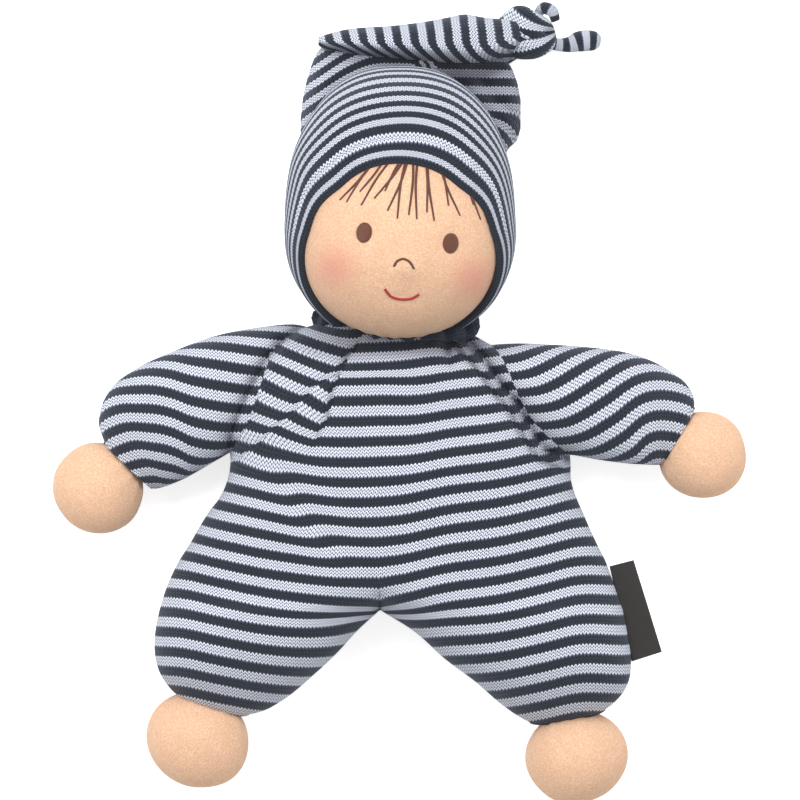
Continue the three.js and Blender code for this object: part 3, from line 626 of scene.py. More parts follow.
def suit_stripes(points):
    """Stripe count on the trunk and the legs."""
    flat = points.reshape(-1, 3)
    x, y = flat[:, 0], flat[:, 1]
    below = eased((CROTCH_Y + 3 - y) / 8)
    gap = np.hypot(x - CROTCH_X, y - CROTCH_Y)
    raised = STRIPE_RISE(x) + CROTCH_PULL * below * np.exp(-gap / CROTCH_REACH)
    above = np.maximum(y - CROTCH_Y, 0)
    pinch = PINCH[0] * np.exp(-np.abs(x - CROTCH_X) / PINCH[1]) * np.exp(-above / PINCH[2])
    sag = SAG[0] * bell(x - CROTCH_X + 3, SAG[1]) * np.exp(-above / SAG[2])
    raised = raised - (pinch + sag) * (1 - below)
    side, share = near_line(flat, NECK_PLEAT)
    raised = raised - NECK_PULL * (1 - eased(share)) * np.exp(-np.abs(side) / NECK_PULL_REACH)
    raised = raised + chest_slant(flat[:, :2]) - chest_drop(flat[:, :2])
    side, _ = near_line(flat, RIGHT_SEAM)
    raised = raised - BAND_STEP * eased(side + RIGHT_BAND + 0.5) * (side < 0)
    side, share = near_line(flat, ARMPIT_FOLD)
    shear = np.tanh(side / FOLD_SHEAR_TURN) * bell(side, FOLD_SHEAR_REACH)
    raised = raised + FOLD_SHEAR * np.sin(math.pi * share) * shear
    reach = np.interp(y - raised, REACH_PLACES, REACH)
    tighter = STRIPES_TIGHTER * (np.maximum(reach, LEG_PLACE) / STRIPES_TIGHTER_REACH) ** 2
    return (reach / STRIPE_PITCH - tighter).reshape(points.shape[:-1])


def creased(points):
    """Presses the creases and puckers of the suit into its front."""
    flat = points.reshape(-1, 3).copy()
    front = eased((flat[:, 2] - FRONT_FROM) / 8)
    sunk = np.zeros(len(flat))
    for line, width, depth, where in CREASES:
        side, share = near_line(flat, line)
        sunk += depth * depth_along(share, where) * bell(side, width)
    for line, away in ((LEFT_SEAM, -1), (RIGHT_SEAM, 1)):
        side, share = near_line(flat, line)
        sunk += SEAM_DIP * eased(side * away / SEAM_SINK) * bell(side, SEAM_RISE)
        length = np.linalg.norm(np.diff(line, axis=0), axis=1).sum()
        wave = np.sin(2 * math.pi * share * length / PUCKER_LENGTH)
        sunk += PUCKER_HEIGHT * wave * bell(side, PUCKER_REACH)
    side, share = near_line(flat, PLEAT_RIGHT)
    left = np.where(side < 0, -side, 0)
    sunk -= PLEAT_STANDS * (1 - eased(share)) * eased(left / PLEAT_RISE) * np.exp(-left / PLEAT_FALL)
    flat[:, 2] -= sunk * front
    return flat.reshape(points.shape)


def suit_painted_shade(points):
    """Painted shade on the suit's cloth: darker in its seams, by the chest's pleat and the neck's pleat, and a
    painted shadow under the chin.
    """
    flat = points.reshape(-1, 3)
    x, y = flat[:, 0], flat[:, 1]
    # Painted shade in the shoulders' seams, with lighter and darker tufts along the right one and a dark line at
    # its band's edge
    side, _ = near_line(flat, LEFT_SEAM)
    shade = 0.7 * bell(side, 2.6) * (side < 0) + 0.45 * bell(side, 0.7) * (side >= 0)
    side, share = near_line(flat, RIGHT_SEAM)
    tufts = 0.75 + 0.25 * np.cos(2 * math.pi * share * 8)
    band = bell(side + RIGHT_BAND, 1.0) * 0.8 + bell(side, 1.7) * 0.8 * tufts
    shade += band + 0.4 * bell(side, 4) * (side > 0)
    side, share = near_line(flat, PLEAT_RIGHT)
    shade += 0.5 * bell(side, 1.6) * (side < 0) * (1 - eased((share - 0.7) / 0.3))
    side, share = near_line(flat, NECK_PLEAT)
    shade += 0.5 * bell(side, 1.6) * (1 - eased(share))
    # Painted shadow under the chin
    shade += 0.8 * eased((y - 47) / 9) * np.exp(-(((x - 4) / 34) ** 4))
    return (shade * eased((flat[:, 2] - 20) / 8)).reshape(points.shape[:-1])


def trunk_row(y):
    """One ring of the trunk: from behind the fork round by the left, and back by the right."""
    left, right = float(LEFT_SIDE(y)), float(RIGHT_SIDE(y))
    half, middle = (right - left) / 2, (right + left) / 2
    thickness, height = float(HALF_THICKNESS(y)), float(MIDDLE_HEIGHT(y))
    fork = np.clip((FORK_START - y) / (FORK_START - CROTCH_Y), 0, 1) ** FORK_POWER
    turn = np.linspace(0, math.pi, QUARTER + 1)
    split = CROTCH_X + (middle - CROTCH_X) * (1 - eased((20 - y) / 50))
    pieces = []
    for outer, front in ((left, -1), (left, 1), (right, 1), (right, -1)):
        side = front * -np.cos(turn)
        x = (outer + split) / 2 + side * abs(split - outer) / 2
        whole = crown((x - middle) / half)
        lobes = crown(side)
        rise = front * thickness * ((1 - fork) * whole + fork * lobes)
        pieces.append(np.stack([x, np.full_like(x, y), height + rise], axis=1)[:-1])
    return np.concatenate(pieces)


# Legs: the outer and inner outline in plan, half thickness, from the groin to the hem
LEFT_LEG_ROWS = (
    ((-83, -39.6), (-3.6, -39.6), 25.6),
    ((-84.4, -46.5), (-11.5, -46.8), 25.4),
    ((-84.8, -53.5), (-19, -55), 24.6),
    ((-83.8, -60), (-28, -63.5), 22.6),
    ((-81.6, -65), (-37.5, -71.5), 19.4),
    ((-79, -68.3), (-45, -75.8), 16.2),
    ((-76.4, -70.2), (-50.4, -77), 13.6),
)
RIGHT_LEG_ROWS = (
    ((83.8, -39.6), (-3.6, -39.6), 25.6),
    ((85.6, -49), (9, -47.5), 25.4),
    ((86.8, -58), (20, -57.4), 24.6),
    ((86, -65.2), (31, -65.7), 22.6),
    ((83.4, -70.4), (40, -73.6), 19.4),
    ((80.6, -73.2), (46, -77.8), 16.2),
    ((78.2, -74.8), (50, -79.9), 13.6),
)
LEG_ROWS = 44
HEM_BOW = 2.0
HEM_ROLL = 0.9


def leg_rings(rows, direction):
    """Rings of a leg, in the order of the trunk's columns. direction is -1 for the left."""
    table = smooth_path([[*outer, *inner, thick] for outer, inner, thick in rows], LEG_ROWS)
    places = np.linspace(0, 1, LEG_ROWS)
    turn = turns(2 * QUARTER)
    rings = []
    for place, (ox, oy, ix, iy, thick) in zip(places, table):
        outer, inner = np.array([ox, oy]), np.array([ix, iy])
        side = -np.cos(turn) if direction > 0 else np.cos(turn)
        front = np.sign(np.sin(turn)) * (1 if direction > 0 else -1)
        share = (side + 1) / 2 if direction > 0 else (1 - side) / 2
        plan = inner + share[:, None] * (outer - inner)
        height = thick - 0.4 + front * thick * crown(side)
        bow = HEM_BOW * eased((place - 0.75) / 0.25) * crown(side) * front
        down = np.array([outer[1] - inner[1], inner[0] - outer[0]])
        down = down / np.linalg.norm(down) * (1 if down[1] < 0 else -1)
        rings.append(np.column_stack([plan + bow[:, None] * down, height]))
    return np.array(rings)


def lipped(rings, towards, roll=HEM_ROLL):
    """Turns the last ring of a skin inwards, as a narrow hem that ends inside."""
    last = rings[-1]
    middle = last.mean(axis=0)
    inner = [middle + (last - middle) * share + np.array(towards) * back
             for share, back in ((0.985, roll * 0.6), (0.93, roll * 0.7), (0.84, 0), (0.7, -3.5), (0.35, -5))]
    return np.concatenate([rings, np.array(inner)])


def suit_columns(rings, sides):
    """Stitch count across the suit. sides lists each lobe's columns: its ends and the middle of its front."""
    lengths = ring_lengths(rings * (1, 1, CLOTH_DEPTH))
    middle = sides[0][1]
    forked = eased((-6 - rings[:, :1, 1]) / 20) if len(sides) == 2 else np.ones((len(rings), 1))
    count = lengths - lengths[:, middle:middle + 1] + CROTCH_X
    lobed = np.zeros_like(count)
    for first, last, front in sides:
        part = slice(first, last + 1)
        at = rings[:, front:front + 1, 0]
        lobed[:, part] = at + lengths[:, part] - lengths[:, front:front + 1]
    return ((1 - forked) * count + forked * lobed) / STITCH_WIDTH


def stitch_count(rings):
    """Stitch count round each ring, from its first column."""
    return ring_lengths(rings) / STITCH_WIDTH


def wrapped(values):
    """A grid of values with its first column repeated at the end."""
    return np.concatenate([values, values[:, :1]], axis=1)


def sewn_suit():
    """Trunk and legs: one sack that forks, cut into a piece for each body."""
    steps = int(round((TRUNK_TOP - CROTCH_Y) / ROW_STEP))
    trunk = np.array([trunk_row(y) for y in np.linspace(TRUNK_TOP, CROTCH_Y, steps)])
    left, right = leg_rings(LEFT_LEG_ROWS, -1), leg_rings(RIGHT_LEG_ROWS, 1)
    trunk[-1] = np.concatenate([left[0], right[0]])
    shaped = [creased(lumpy(settled(rings), 26, 1.0, 1)) for rings in (trunk, left, right)]
    trunk, left, right = shaped
    turnings = [[(0, 2 * QUARTER, 3 * QUARTER // 2), (2 * QUARTER, 4 * QUARTER, 5 * QUARTER // 2)],
                [(0, 2 * QUARTER, 3 * QUARTER // 2)], [(0, 2 * QUARTER, QUARTER // 2)]]
    counts = [suit_columns(rings, sides) for rings, sides in zip(shaped, turnings)]
    cloths = [np.stack([count, wrapped(suit_stripes(rings))], axis=-1)
              for count, rings in zip(counts, shaped)]
    left = lipped(left, (-0.25, -1, 0))
    right = lipped(right, (0.18, -1, 0))
    for index, rings in ((1, left), (2, right)):
        extra = len(rings) - len(cloths[index])
        below = np.repeat(cloths[index][-1:], extra, axis=0)
        below[..., 1] -= np.linspace(0.08, 0.5, extra)[:, None]
        cloths[index] = np.concatenate([cloths[index], below])
    grids = [rings[::-1] for rings in (trunk, left, right)]
    cloths = [cloth[::-1] for cloth in cloths]
    verts = np.concatenate([rings.reshape(-1, 3) for rings in grids])
    quads, offset = [], 0
    for rings in grids:
        quads.append(ring_quads(*rings.shape[:2])[0] + offset)
        offset += rings.shape[0] * rings.shape[1]
    normals = vertex_normals(verts, np.concatenate(quads))
    made, offset = [], 0
    for name, rings, cloth in zip(("trunk_cloth", "left_leg_cloth", "right_leg_cloth"), grids, cloths):
        count = rings.shape[0] * rings.shape[1]
        piece = skin(name, rings, cloth, STRIPED, normals[offset:offset + count])
        # Each piece keeps the suit's painted shade for its seams, pleats and under the chin
        made.append(keep_painted_shade(piece, suit_painted_shade(rings)))
        offset += count
    return made


trunk_cloth, left_leg_cloth, right_leg_cloth = sewn_suit()


# ---- sleeves ----

# Rings of a sleeve: top and bottom in plan, middle height, half thickness, from inside the chest to the cuff
LEFT_SLEEVE_ROWS = (
    ((-20, 57), (-40, 20), 24, 12.5),
    ((-33.8, 63.2), (-55.4, 18.0), 25, 17.4),
    ((-46.1, 62.3), (-61.9, 14.6), 24.6, 18.8),
    ((-63.4, 59.0), (-68.4, 10.8), 23.4, 19.4),
    ((-78.8, 53.3), (-74.2, 7.6), 21.4, 18.8),
    ((-91.8, 47.2), (-79.4, 5.4), 19.4, 17.4),
    ((-100.4, 40.6), (-82.6, 4.4), 17.8, 15.6),
    ((-104.6, 32.4), (-84.4, 4.0), 16.6, 13.8),
    ((-105.1, 26.6), (-85.2, 4.0), 16.2, 12.8),
    ((-103.2, 21.0), (-85.6, 4.1), 16, 12.2),
)
RIGHT_SLEEVE_ROWS = (
    ((24, 52), (48, 16), 24, 12.5),
    ((35, 55.6), (63.4, 16.4), 25, 17.4),
    ((45.5, 56.4), (75.6, 14.4), 24.8, 18.8),
    ((57.6, 56), (84.6, 13.2), 23.8, 19.2),
    ((72, 55), (90, 12.8), 22, 18.8),
    ((85, 53.2), (93.6, 12.6), 20, 17.6),
    ((94.4, 50.2), (96, 12.6), 18.4, 16.2),
    ((100.6, 46.8), (97.2, 12.6), 17, 14.8),
    ((107.4, 41.4), (97.6, 12.6), 15.8, 13.2),
    ((110, 36), (97.8, 12.7), 15.3, 12.5),
    ((109.9, 33.6), (97.8, 12.8), 15.1, 12.2),
)
SLEEVE_COLUMNS, SLEEVE_ROWS = 96, 84
SLEEVE_PITCH = 7.3
# One dark stripe on each sleeve, as it runs in plan, and how far below it the count of the stripes starts:
# more towards the hand, where that stripe leaves the sleeve's front
LEFT_SLEEVE_STRIPE = profile((-106, 27), (-104, 28.8), (-98.6, 32), (-93.2, 33.8), (-87.8, 33.3),
                             (-82.4, 32.6), (-77, 31), (-71.6, 28.6), (-66.2, 27.2), (-60.8, 26.3),
                             (-50, 26), (-30, 28))
RIGHT_SLEEVE_STRIPE = profile((30, 27), (50, 26.2), (63.7, 28.1), (69.1, 30.6), (74.5, 33.8), (79.9, 37.1),
                              (85.3, 40.7), (90.7, 43.6), (96.1, 45), (101.5, 44.6), (110, 42))
LEFT_SLEEVE_DROP = profile((-110, 16), (-100, 14), (-90, 8), (-75, 2), (-60, 0), (-30, 0))
RIGHT_SLEEVE_DROP = profile((30, 0), (70, 0), (85, 5), (95, 14), (103, 20), (112, 23))


def sleeve(name, rows, stripe_line, drop, direction):
    """A sleeve; direction is -1 for the left. Its stripes run along the arm."""
    table = smooth_path([[*top, *bottom, height, half] for top, bottom, height, half in rows], SLEEVE_ROWS)
    rings = []
    for tx, ty, bx, by, height, half in table:
        top, bottom = np.array([tx, ty, height]), np.array([bx, by, height])
        across = (top - bottom) / 2 * (1 if direction < 0 else -1)
        rings.append(oval((top + bottom) / 2, across, np.array([0, 0, half]), SLEEVE_COLUMNS))
    rings = settled(np.array(rings))
    rings = lumpy(rings, 22, 0.9, 3 + direction)
    lengths = ring_lengths(rings * (1, 1, CLOTH_DEPTH))
    front = slice(1, SLEEVE_COLUMNS // 2)
    stripes = np.zeros_like(lengths)
    for row, ring in enumerate(rings):
        above = ring[front, 1] - stripe_line(ring[front, 0]) + drop(ring[front, 0])
        order = np.argsort(above)
        crossing = np.interp(0, above[order], lengths[row, front][order])
        dropped = drop(np.interp(0, above[order], ring[front, 0][order])) / SLEEVE_PITCH
        stripes[row] = (lengths[row] - crossing) / SLEEVE_PITCH * (1 if direction < 0 else -1) - dropped
    cloth = np.stack([wrapped(rings[..., 0]) / STITCH_WIDTH, stripes], axis=-1)
    rings = creased(rings)
    lip = lipped(rings, (0.75 * direction, -0.65, 0))
    extra = len(lip) - len(rings)
    edge = np.repeat(cloth[-1:], extra, axis=0)
    edge[..., 0] += np.linspace(0.3, 2, extra)[:, None] * direction
    # The sleeve keeps the suit's painted shade by its seam
    return keep_painted_shade(skin(name, lip, np.concatenate([cloth, edge]), STRIPED), suit_painted_shade(lip))


left_sleeve_cloth, right_sleeve_cloth = (sleeve(*row) for row in (
    ("left_sleeve_cloth", LEFT_SLEEVE_ROWS, LEFT_SLEEVE_STRIPE, LEFT_SLEEVE_DROP, -1),
    ("right_sleeve_cloth", RIGHT_SLEEVE_ROWS, RIGHT_SLEEVE_STRIPE, RIGHT_SLEEVE_DROP, 1)))


# ---- hands, feet and head: velour balls ----

BALL_COLUMNS, BALL_ROWS = 72, 44
GATHER_COUNT = 13
BALL_PLEAT, HEAD_PLEAT, HEAD_GATHERS = 0.09, 0.05, 22
# Each ball: its middle; its half sizes along its way, across it and upward; its way to the neck; the neck's
# length and radius; the seed of its lumps
BALLS = {
    "left_hand_ball": ((-105.5, 4.3, 16.4), (16.3, 16.6, 15.9), (11.3, 8.5, 0), (4, 8.2), 11),
    "right_hand_ball": ((113, 16.2, 15.9), (15.8, 15.8, 15.4), (-9.2, 7, 0), (4, 8.2), 12),
    "left_foot_ball": ((-69.3, -86.6, 17.6), (17.2, 18.9, 17.2), (6.1, 12.8, 0), (4, 9.5), 13),
    "right_foot_ball": ((67.2, -92.6, 17.6), (16.9, 18.4, 17.2), (-3.2, 15.2, 0), (4, 9.5), 14),
}


def velour_ball(name, middle, half, towards, neck, seed):
    """A velour ball drawn together to a narrow neck. towards leads from its middle to the neck."""
    middle, towards = np.array(middle, float), np.array(towards, float)
    way = towards / np.linalg.norm(towards)
    across = np.cross(way, (0, 0, 1.0))
    neck_length, neck_radius = neck
    rings = []
    closing = math.asin(min(0.95, neck_radius / half[1]))
    turn = turns(BALL_COLUMNS)
    for share in np.linspace(0, 1, BALL_ROWS):
        polar = 0.03 + share * 1.16 * (math.pi - closing)
        end = math.pi - closing
        if polar < end:
            radius, place = math.sin(polar), -math.cos(polar) * half[0]
        else:
            gone = (polar - end) / (0.16 * end)
            radius = math.sin(closing) * (1 - 0.12 * eased(gone))
            place = -math.cos(end) * half[0] + gone * neck_length
        waves = 0.5 + 0.5 * np.cos(GATHER_COUNT * turn + 0.4 * np.sin(3 * turn))
        reach = radius * (1 - BALL_PLEAT * eased((polar - 1.75) / 1.2) * waves)[:, None]
        flat = np.cos(turn)[:, None] * across * half[1] + np.sin(turn)[:, None] * UPWARD * half[2]
        rings.append(middle + way * place + reach * flat)
    rings = settled(np.array(rings))
    rings = lumpy(rings, 13, 0.55, seed, outward(rings, middle))
    return skin(name, rings[:, ::-1], None, VELOUR)


left_hand_ball, right_hand_ball, left_foot_ball, right_foot_ball = (
    velour_ball(name, *row) for name, row in BALLS.items())

HEAD_MIDDLE = np.array([3.6, 95.8, 40.8])
HEAD_RADIUS = 38.3
HEAD_ROWS, HEAD_COLUMNS = 120, 144
EYES = ((-9.0, 95.0), (21.4, 91.3))
EYE_HALF = (2.75, 3.6)
EYE_TILT = math.radians(-7)
CHEEKS = ((-19.5, 83.2, 7.2), (29.5, 79, 7.2))
CHEEK_EDGE, CHEEK_BLUSH = 1.3, 0.62
# Nose, cheeks, hollows of the eyes and under the mouth: middle in plan, half width and height, and relief
FACE_RELIEF = ((5.2, 82.2, 5.2, 4.2, 1.5), *((x, y, 9, 8, 0.9) for x, y, _ in CHEEKS),
               *((x, y, 5.5, 5.5, -0.9) for x, y in EYES), (4.6, 72, 7, 2.4, -0.5))
# From the neck to the head
NECK_WAY = np.array([0.053, 0.953, 0.298])


def on_head(x, y, lift=0.0):
    """A place on the front of the head, over a place in plan."""
    x, y = np.asarray(x, float), np.asarray(y, float)
    flat = ((x - HEAD_MIDDLE[0]) ** 2 + (y - HEAD_MIDDLE[1]) ** 2) / HEAD_RADIUS**2
    height = HEAD_MIDDLE[2] + HEAD_RADIUS * np.sqrt(np.maximum(1 - flat, 0)) + face_relief(x, y)
    point = np.stack([x, y, height], axis=-1)
    out = point - HEAD_MIDDLE
    return point + lift * out / np.linalg.norm(out, axis=-1)[..., None]


def face_relief(x, y):
    """How far the front of the head stands out over a place in plan."""
    return sum(rise * bell(x - cx, wide) * bell(y - cy, tall) for cx, cy, wide, tall, rise in FACE_RELIEF)


def head_ball():
    """The head, which closes towards the neck; its mesh keeps how rosy the cheeks are."""
    turn = turns(HEAD_COLUMNS)
    way = -NECK_WAY
    across = np.cross(way, (0, 0, 1.0))
    across /= np.linalg.norm(across)
    through = np.cross(across, way)
    rings = []
    for angle in np.linspace(0.02, math.pi - 0.4, HEAD_ROWS):
        pleats = 1 - HEAD_PLEAT * eased((angle - 2.1) / 0.8) * (0.5 + 0.5 * np.cos(HEAD_GATHERS * turn))
        flat = (np.cos(turn) * pleats)[:, None] * across + (np.sin(turn) * pleats)[:, None] * through
        rings.append(HEAD_MIDDLE + HEAD_RADIUS * (-math.cos(angle) * way + math.sin(angle) * flat))
    neck_row = rings[-1]
    for step in (2.5, 5):
        rings.append(neck_row + way * step)
    rings = np.array(rings)
    front = eased((rings[..., 2] - HEAD_MIDDLE[2] - 4) / 12)
    rings[..., 2] += face_relief(rings[..., 0], rings[..., 1]) * front
    rings = rings[:, ::-1]
    ball = skin("head_ball", rings, None, VELOUR)
    blush = ball.data.attributes.new("blush", "FLOAT", "POINT")
    places = rings.reshape(-1, 3)
    rosy = sum(np.exp(-(((places[:, 0] - x) ** 2 + (places[:, 1] - y) ** 2) / size**2) ** CHEEK_EDGE)
               for x, y, size in CHEEKS)
    rosy = rosy * (places[:, 2] > HEAD_MIDDLE[2]) * CHEEK_BLUSH
    blush.data.foreach_set("value", np.concatenate([rosy, [0, 0]]).astype(np.float32))
    return ball


head_velour = head_ball()


def eye(name, middle):
    """A satin-stitched oval that follows the head."""
    rings, count = [], 28
    turn = turns(count)
    for reach, lift in ((1.0, -0.5), (1.0, 0.25), (0.93, 0.55), (0.75, 0.75), (0.5, 0.85), (0.22, 0.9)):
        x = EYE_HALF[0] * reach * np.cos(turn)
        y = EYE_HALF[1] * reach * np.sin(turn)
        px = middle[0] + x * math.cos(EYE_TILT) - y * math.sin(EYE_TILT)
        py = middle[1] + x * math.sin(EYE_TILT) + y * math.cos(EYE_TILT)
        rings.append(on_head(px, py, lift))
    rings = np.array(rings)
    cloth = np.stack([rings[..., 1], rings[..., 0] * 2.2], axis=-1)
    cloth = np.concatenate([cloth, cloth[:, :1]], axis=1)
    return skin(name, rings, cloth, EYE_THREAD)


left_eye_stitches = eye("left_eye_stitches", EYES[0])
right_eye_stitches = eye("right_eye_stitches", EYES[1])


PIXEL_SIZE, PIXEL_MIDDLE = 0.36, (390, 500)


def plan(*pixels):
    """Places in plan for pixels of the frontal picture, in millimetres."""
    return np.array([((px - PIXEL_MIDDLE[0]) * PIXEL_SIZE, (PIXEL_MIDDLE[1] - py) * PIXEL_SIZE)
                     for px, py in pixels])


THREAD_SIDES, THREAD_FLAT = 8, 0.7


def stitched(name, line, radius, material, taper=0.0, lift=0.15):
    """A line of embroidery laid on the head."""
    path = smooth_path(line, max(8, int(np.linalg.norm(np.diff(line, axis=0), axis=1).sum() / 0.5)))
    places = on_head(path[:, 0], path[:, 1], lift)
    reach = np.linspace(0, 1, len(places))
    width = radius * (1 - taper * np.maximum(reach - 0.6, 0) / 0.4)
    return tube(name, places, width, material, THREAD_SIDES, THREAD_FLAT)


NOSE = plan((394, 269), (397.5, 264), (403.5, 262), (409.5, 265), (413.5, 271.4))
MOUTH = plan((385, 291), (391, 298), (403, 301), (413, 299.5), (418.6, 296))
nose_stitches = stitched("nose_stitches", NOSE, 0.42, HAIR_THREAD)
mouth_stitches = stitched("mouth_stitches", MOUTH, 0.48, MOUTH_THREAD)

# Each strand of hair: where it is first seen at the cap's edge and where it ends, in pixels
STRANDS = (
    (365.4, 175.7, 341, 203.9), (372, 172, 347.7, 206), (379.5, 170.7, 360.7, 196.1),
    (390.3, 167.4, 362.1, 209.4), (402.7, 164.9, 375, 202.7), (401, 166.6, 385.3, 195.6),
    (405.2, 170, 387.8, 215), (406.8, 164.9, 397.4, 222.6), (411.8, 164.1, 408.5, 219.3),
    (418.5, 164.1, 416.3, 223.3), (423.9, 164.1, 426.2, 216.7), (428.1, 164.1, 433.4, 224.6),
    (438.3, 168.2, 447.5, 209.7), (440, 170.7, 458.7, 219.3), (460.7, 181.5, 472, 208.4),
    (469, 189.8, 479, 223), (474, 196.4, 486.4, 226.3),
)
# How far it goes on under the cap, and how much it bends for its length
HAIR_UNDER, HAIR_BEND = 5, 0.03


def hair():
    """Straight stitched strands that start under the edge of the cap."""
    strands = []
    for index, (sx, sy, ex, ey) in enumerate(STRANDS):
        start, end = plan((sx, sy), (ex, ey))
        start = start + (start - end) / np.linalg.norm(start - end) * HAIR_UNDER
        bend = np.array([-(end - start)[1], (end - start)[0]]) * HAIR_BEND * (-1) ** index
        line = [start, (start + end) / 2 + bend, end]
        strands.append(stitched(f"hair_strand_{index}", line, 0.44, HAIR_THREAD, taper=0.3, lift=0.12))
    return joined("hair_stitches", strands)


def joined(name, pieces):
    """One piece from several."""
    for other in bpy.context.selected_objects:
        other.select_set(False)
    for piece in pieces:
        piece.select_set(True)
    bpy.context.view_layer.objects.active = pieces[0]
    bpy.ops.object.join()
    pieces[0].name = name
    return pieces[0]


hair_stitches = hair()


# ---- cap ----

# Half sizes of the dome; above the face it is longer, and its section fuller than an oval
DOME_HALF, DOME_TOP_HALF = 41.3, 59.2
DOME_FULLER, DOME_FULLER_FROM = 0.28, 0.45
DOME_ROWS, DOME_COLUMNS, DOME_COLUMN_COUNT = 90, 192, 176
# The cap's opening leans towards the chin. Beside the face it is wider, up to a turn above the eyes,
# in degrees
BRIM_TILT, BRIM_WIDER = math.radians(33), math.radians(4.2)
BRIM_SIDE, BRIM_SIDE_FADE = 28, 27
DOME_AXIS = np.array([0, -math.sin(BRIM_TILT), math.cos(BRIM_TILT)])
# The turned edge, from inside: angle from the middle of the face, in degrees, and growth; the first three
# rings are turned in, the sixth is the front edge
CAP_EDGE = ((61, 0.85), (59.2, 0.89), (57.9, 0.925), (57.2, 0.95), (57.2, 0.965), (57.6, 0.974))
TURNED_IN, FRONT_EDGE = 3, 5
EDGE_SINKS = np.array([-3, -1.6, -0.6])
EDGE_LIES, EDGE_GAP = 58, 1.8
DOME_GROWTH = profile((58, 0.976), (62, 0.985), (67, 0.996), (74, 1.0), (180, 1.0))
# The hem is thicker, and a row of stitches holds it
HEM_ANGLE, HEM_THICK, HEM_GROOVE = 65.9, 0.012, 0.7
STRIPE_WANDER = 0.06
# Stripe count by the angle from the middle of the face
DOME_STRIPES = ((50, -0.3), (57.3, 0), (59, 0.25), (61, 0.75), (62, 1), (65.9, 1.5), (69.8, 2), (75, 3),
                (79.8, 4), (85.1, 5), (90.8, 6), (97.4, 7), (103.2, 8), (110, 9), (118, 10), (180, 18))


def on_dome(angle, turn, growth=1.0):
    """A place on the cap: its angle from the middle of the face, and the turn round the face, in radians."""
    right = np.array([1.0, 0, 0])
    up = np.cross(DOME_AXIS, right)
    beside = 1 - eased((np.degrees(np.arcsin(np.sin(turn))) - BRIM_SIDE) / BRIM_SIDE_FADE)
    angle = angle + BRIM_WIDER * beside * bell(angle - 1, 0.5)
    unit = (np.cos(angle) * DOME_AXIS.reshape(3, 1) + np.sin(angle) * (
        np.cos(turn) * right.reshape(3, 1) + np.sin(turn) * up.reshape(3, 1))).T * growth
    fuller = (2 + DOME_FULLER * eased(unit[:, 1] / DOME_FULLER_FROM))[:, None]
    length = np.linalg.norm(unit, axis=1)[:, None]
    unit = unit / (np.abs(unit / length) ** fuller).sum(axis=1)[:, None] ** (1 / fuller)
    halves = np.full_like(unit, DOME_HALF)
    halves[:, 1] = np.where(unit[:, 1] > 0, DOME_TOP_HALF, DOME_HALF)
    return HEAD_MIDDLE + unit * halves


def hugging(rings, angles, turn):
    """Lays the cap's front edge on the forehead; the part turned in ends at the head."""
    edge = rings[FRONT_EDGE]
    across, along = edge[:, 0] - HEAD_MIDDLE[0], edge[:, 1] - HEAD_MIDDLE[1]
    under = np.sqrt(np.maximum(HEAD_RADIUS**2 - across**2 - along**2, 0))
    above = eased((np.sin(turn) - 0.25) / 0.45)
    shift = np.minimum(HEAD_MIDDLE[2] + under + EDGE_GAP - edge[:, 2], 0) * above
    fade = 1 - eased((angles - EDGE_LIES) / 32)
    fade[:len(CAP_EDGE)] = 1
    laid = rings.copy()
    laid[..., 2] += fade[:, None] * shift
    laid[:TURNED_IN, :, 2] += EDGE_SINKS[:, None] * above
    return laid


def cap_dome():
    """The cap over the head, with its turned edge and the row of stitches that holds the hem."""
    turn = -turns(DOME_COLUMNS)
    rest = np.concatenate([np.linspace(58.2, 72, 38), np.linspace(73, 176, DOME_ROWS)])
    grown = DOME_GROWTH(rest) + HEM_THICK * eased((HEM_ANGLE + 0.5 - rest) / 1.2)
    angles, growths = np.concatenate([CAP_EDGE, np.stack([rest, grown], axis=1)]).T
    rings = settled(np.array([on_dome(np.radians(a), turn, growth) for a, growth in zip(angles, growths)]))
    ways = outward(rings, HEAD_MIDDLE)
    rings = lumpy(rings, 20, 0.5, 21, ways)
    stripe = np.interp(angles, *np.array(DOME_STRIPES).T)[:, None]
    stripe[:TURNED_IN] = 0
    sewn = HEM_GROOVE * bell(angles - HEM_ANGLE, HEM_GROOVE)
    dimples = 0.6 + 0.4 * np.cos(DOME_COLUMN_COUNT / 2 * turn)
    rings = rings - (sewn[:, None] * dimples)[..., None] * ways
    columns = np.arange(DOME_COLUMNS + 1) / DOME_COLUMNS * DOME_COLUMN_COUNT
    wander = STRIPE_WANDER * np.sin(np.linspace(0, 2 * math.pi, DOME_COLUMNS + 1) * 3 + 1)
    stripes = stripe + wander * (stripe > 0.8)
    cloth = np.stack([np.broadcast_to(columns, stripes.shape), stripes], axis=-1)
    return skin("cap_dome_cloth", hugging(rings, angles, turn), cloth, STRIPED)


cap_dome_cloth = cap_dome()

# The tail: place, lower and upper edge, middle height and half thickness; it lies in front of the fold
TAIL_ROWS = (
    (-25.8, 163.6, 166.6, 26, 1.2), (-22, 161.2, 167.8, 27, 3.4), (-16.2, 159.4, 169.2, 27.5, 5.6),
    (-9, 157.6, 170, 28, 7), (1.1, 155.8, 170.6, 28, 8.2), (12, 153.6, 172, 27.4, 9),
    (20.5, 151.6, 173.6, 26, 9.2), (27, 150.8, 174.9, 24, 9.2), (33, 151.8, 174, 22, 9),
    (38, 154, 173.6, 19.6, 8.2), (43, 157.6, 173.4, 17, 7), (47.5, 160.4, 173, 14.6, 5.8),
    (50.5, 162, 172.4, 13, 5),
)
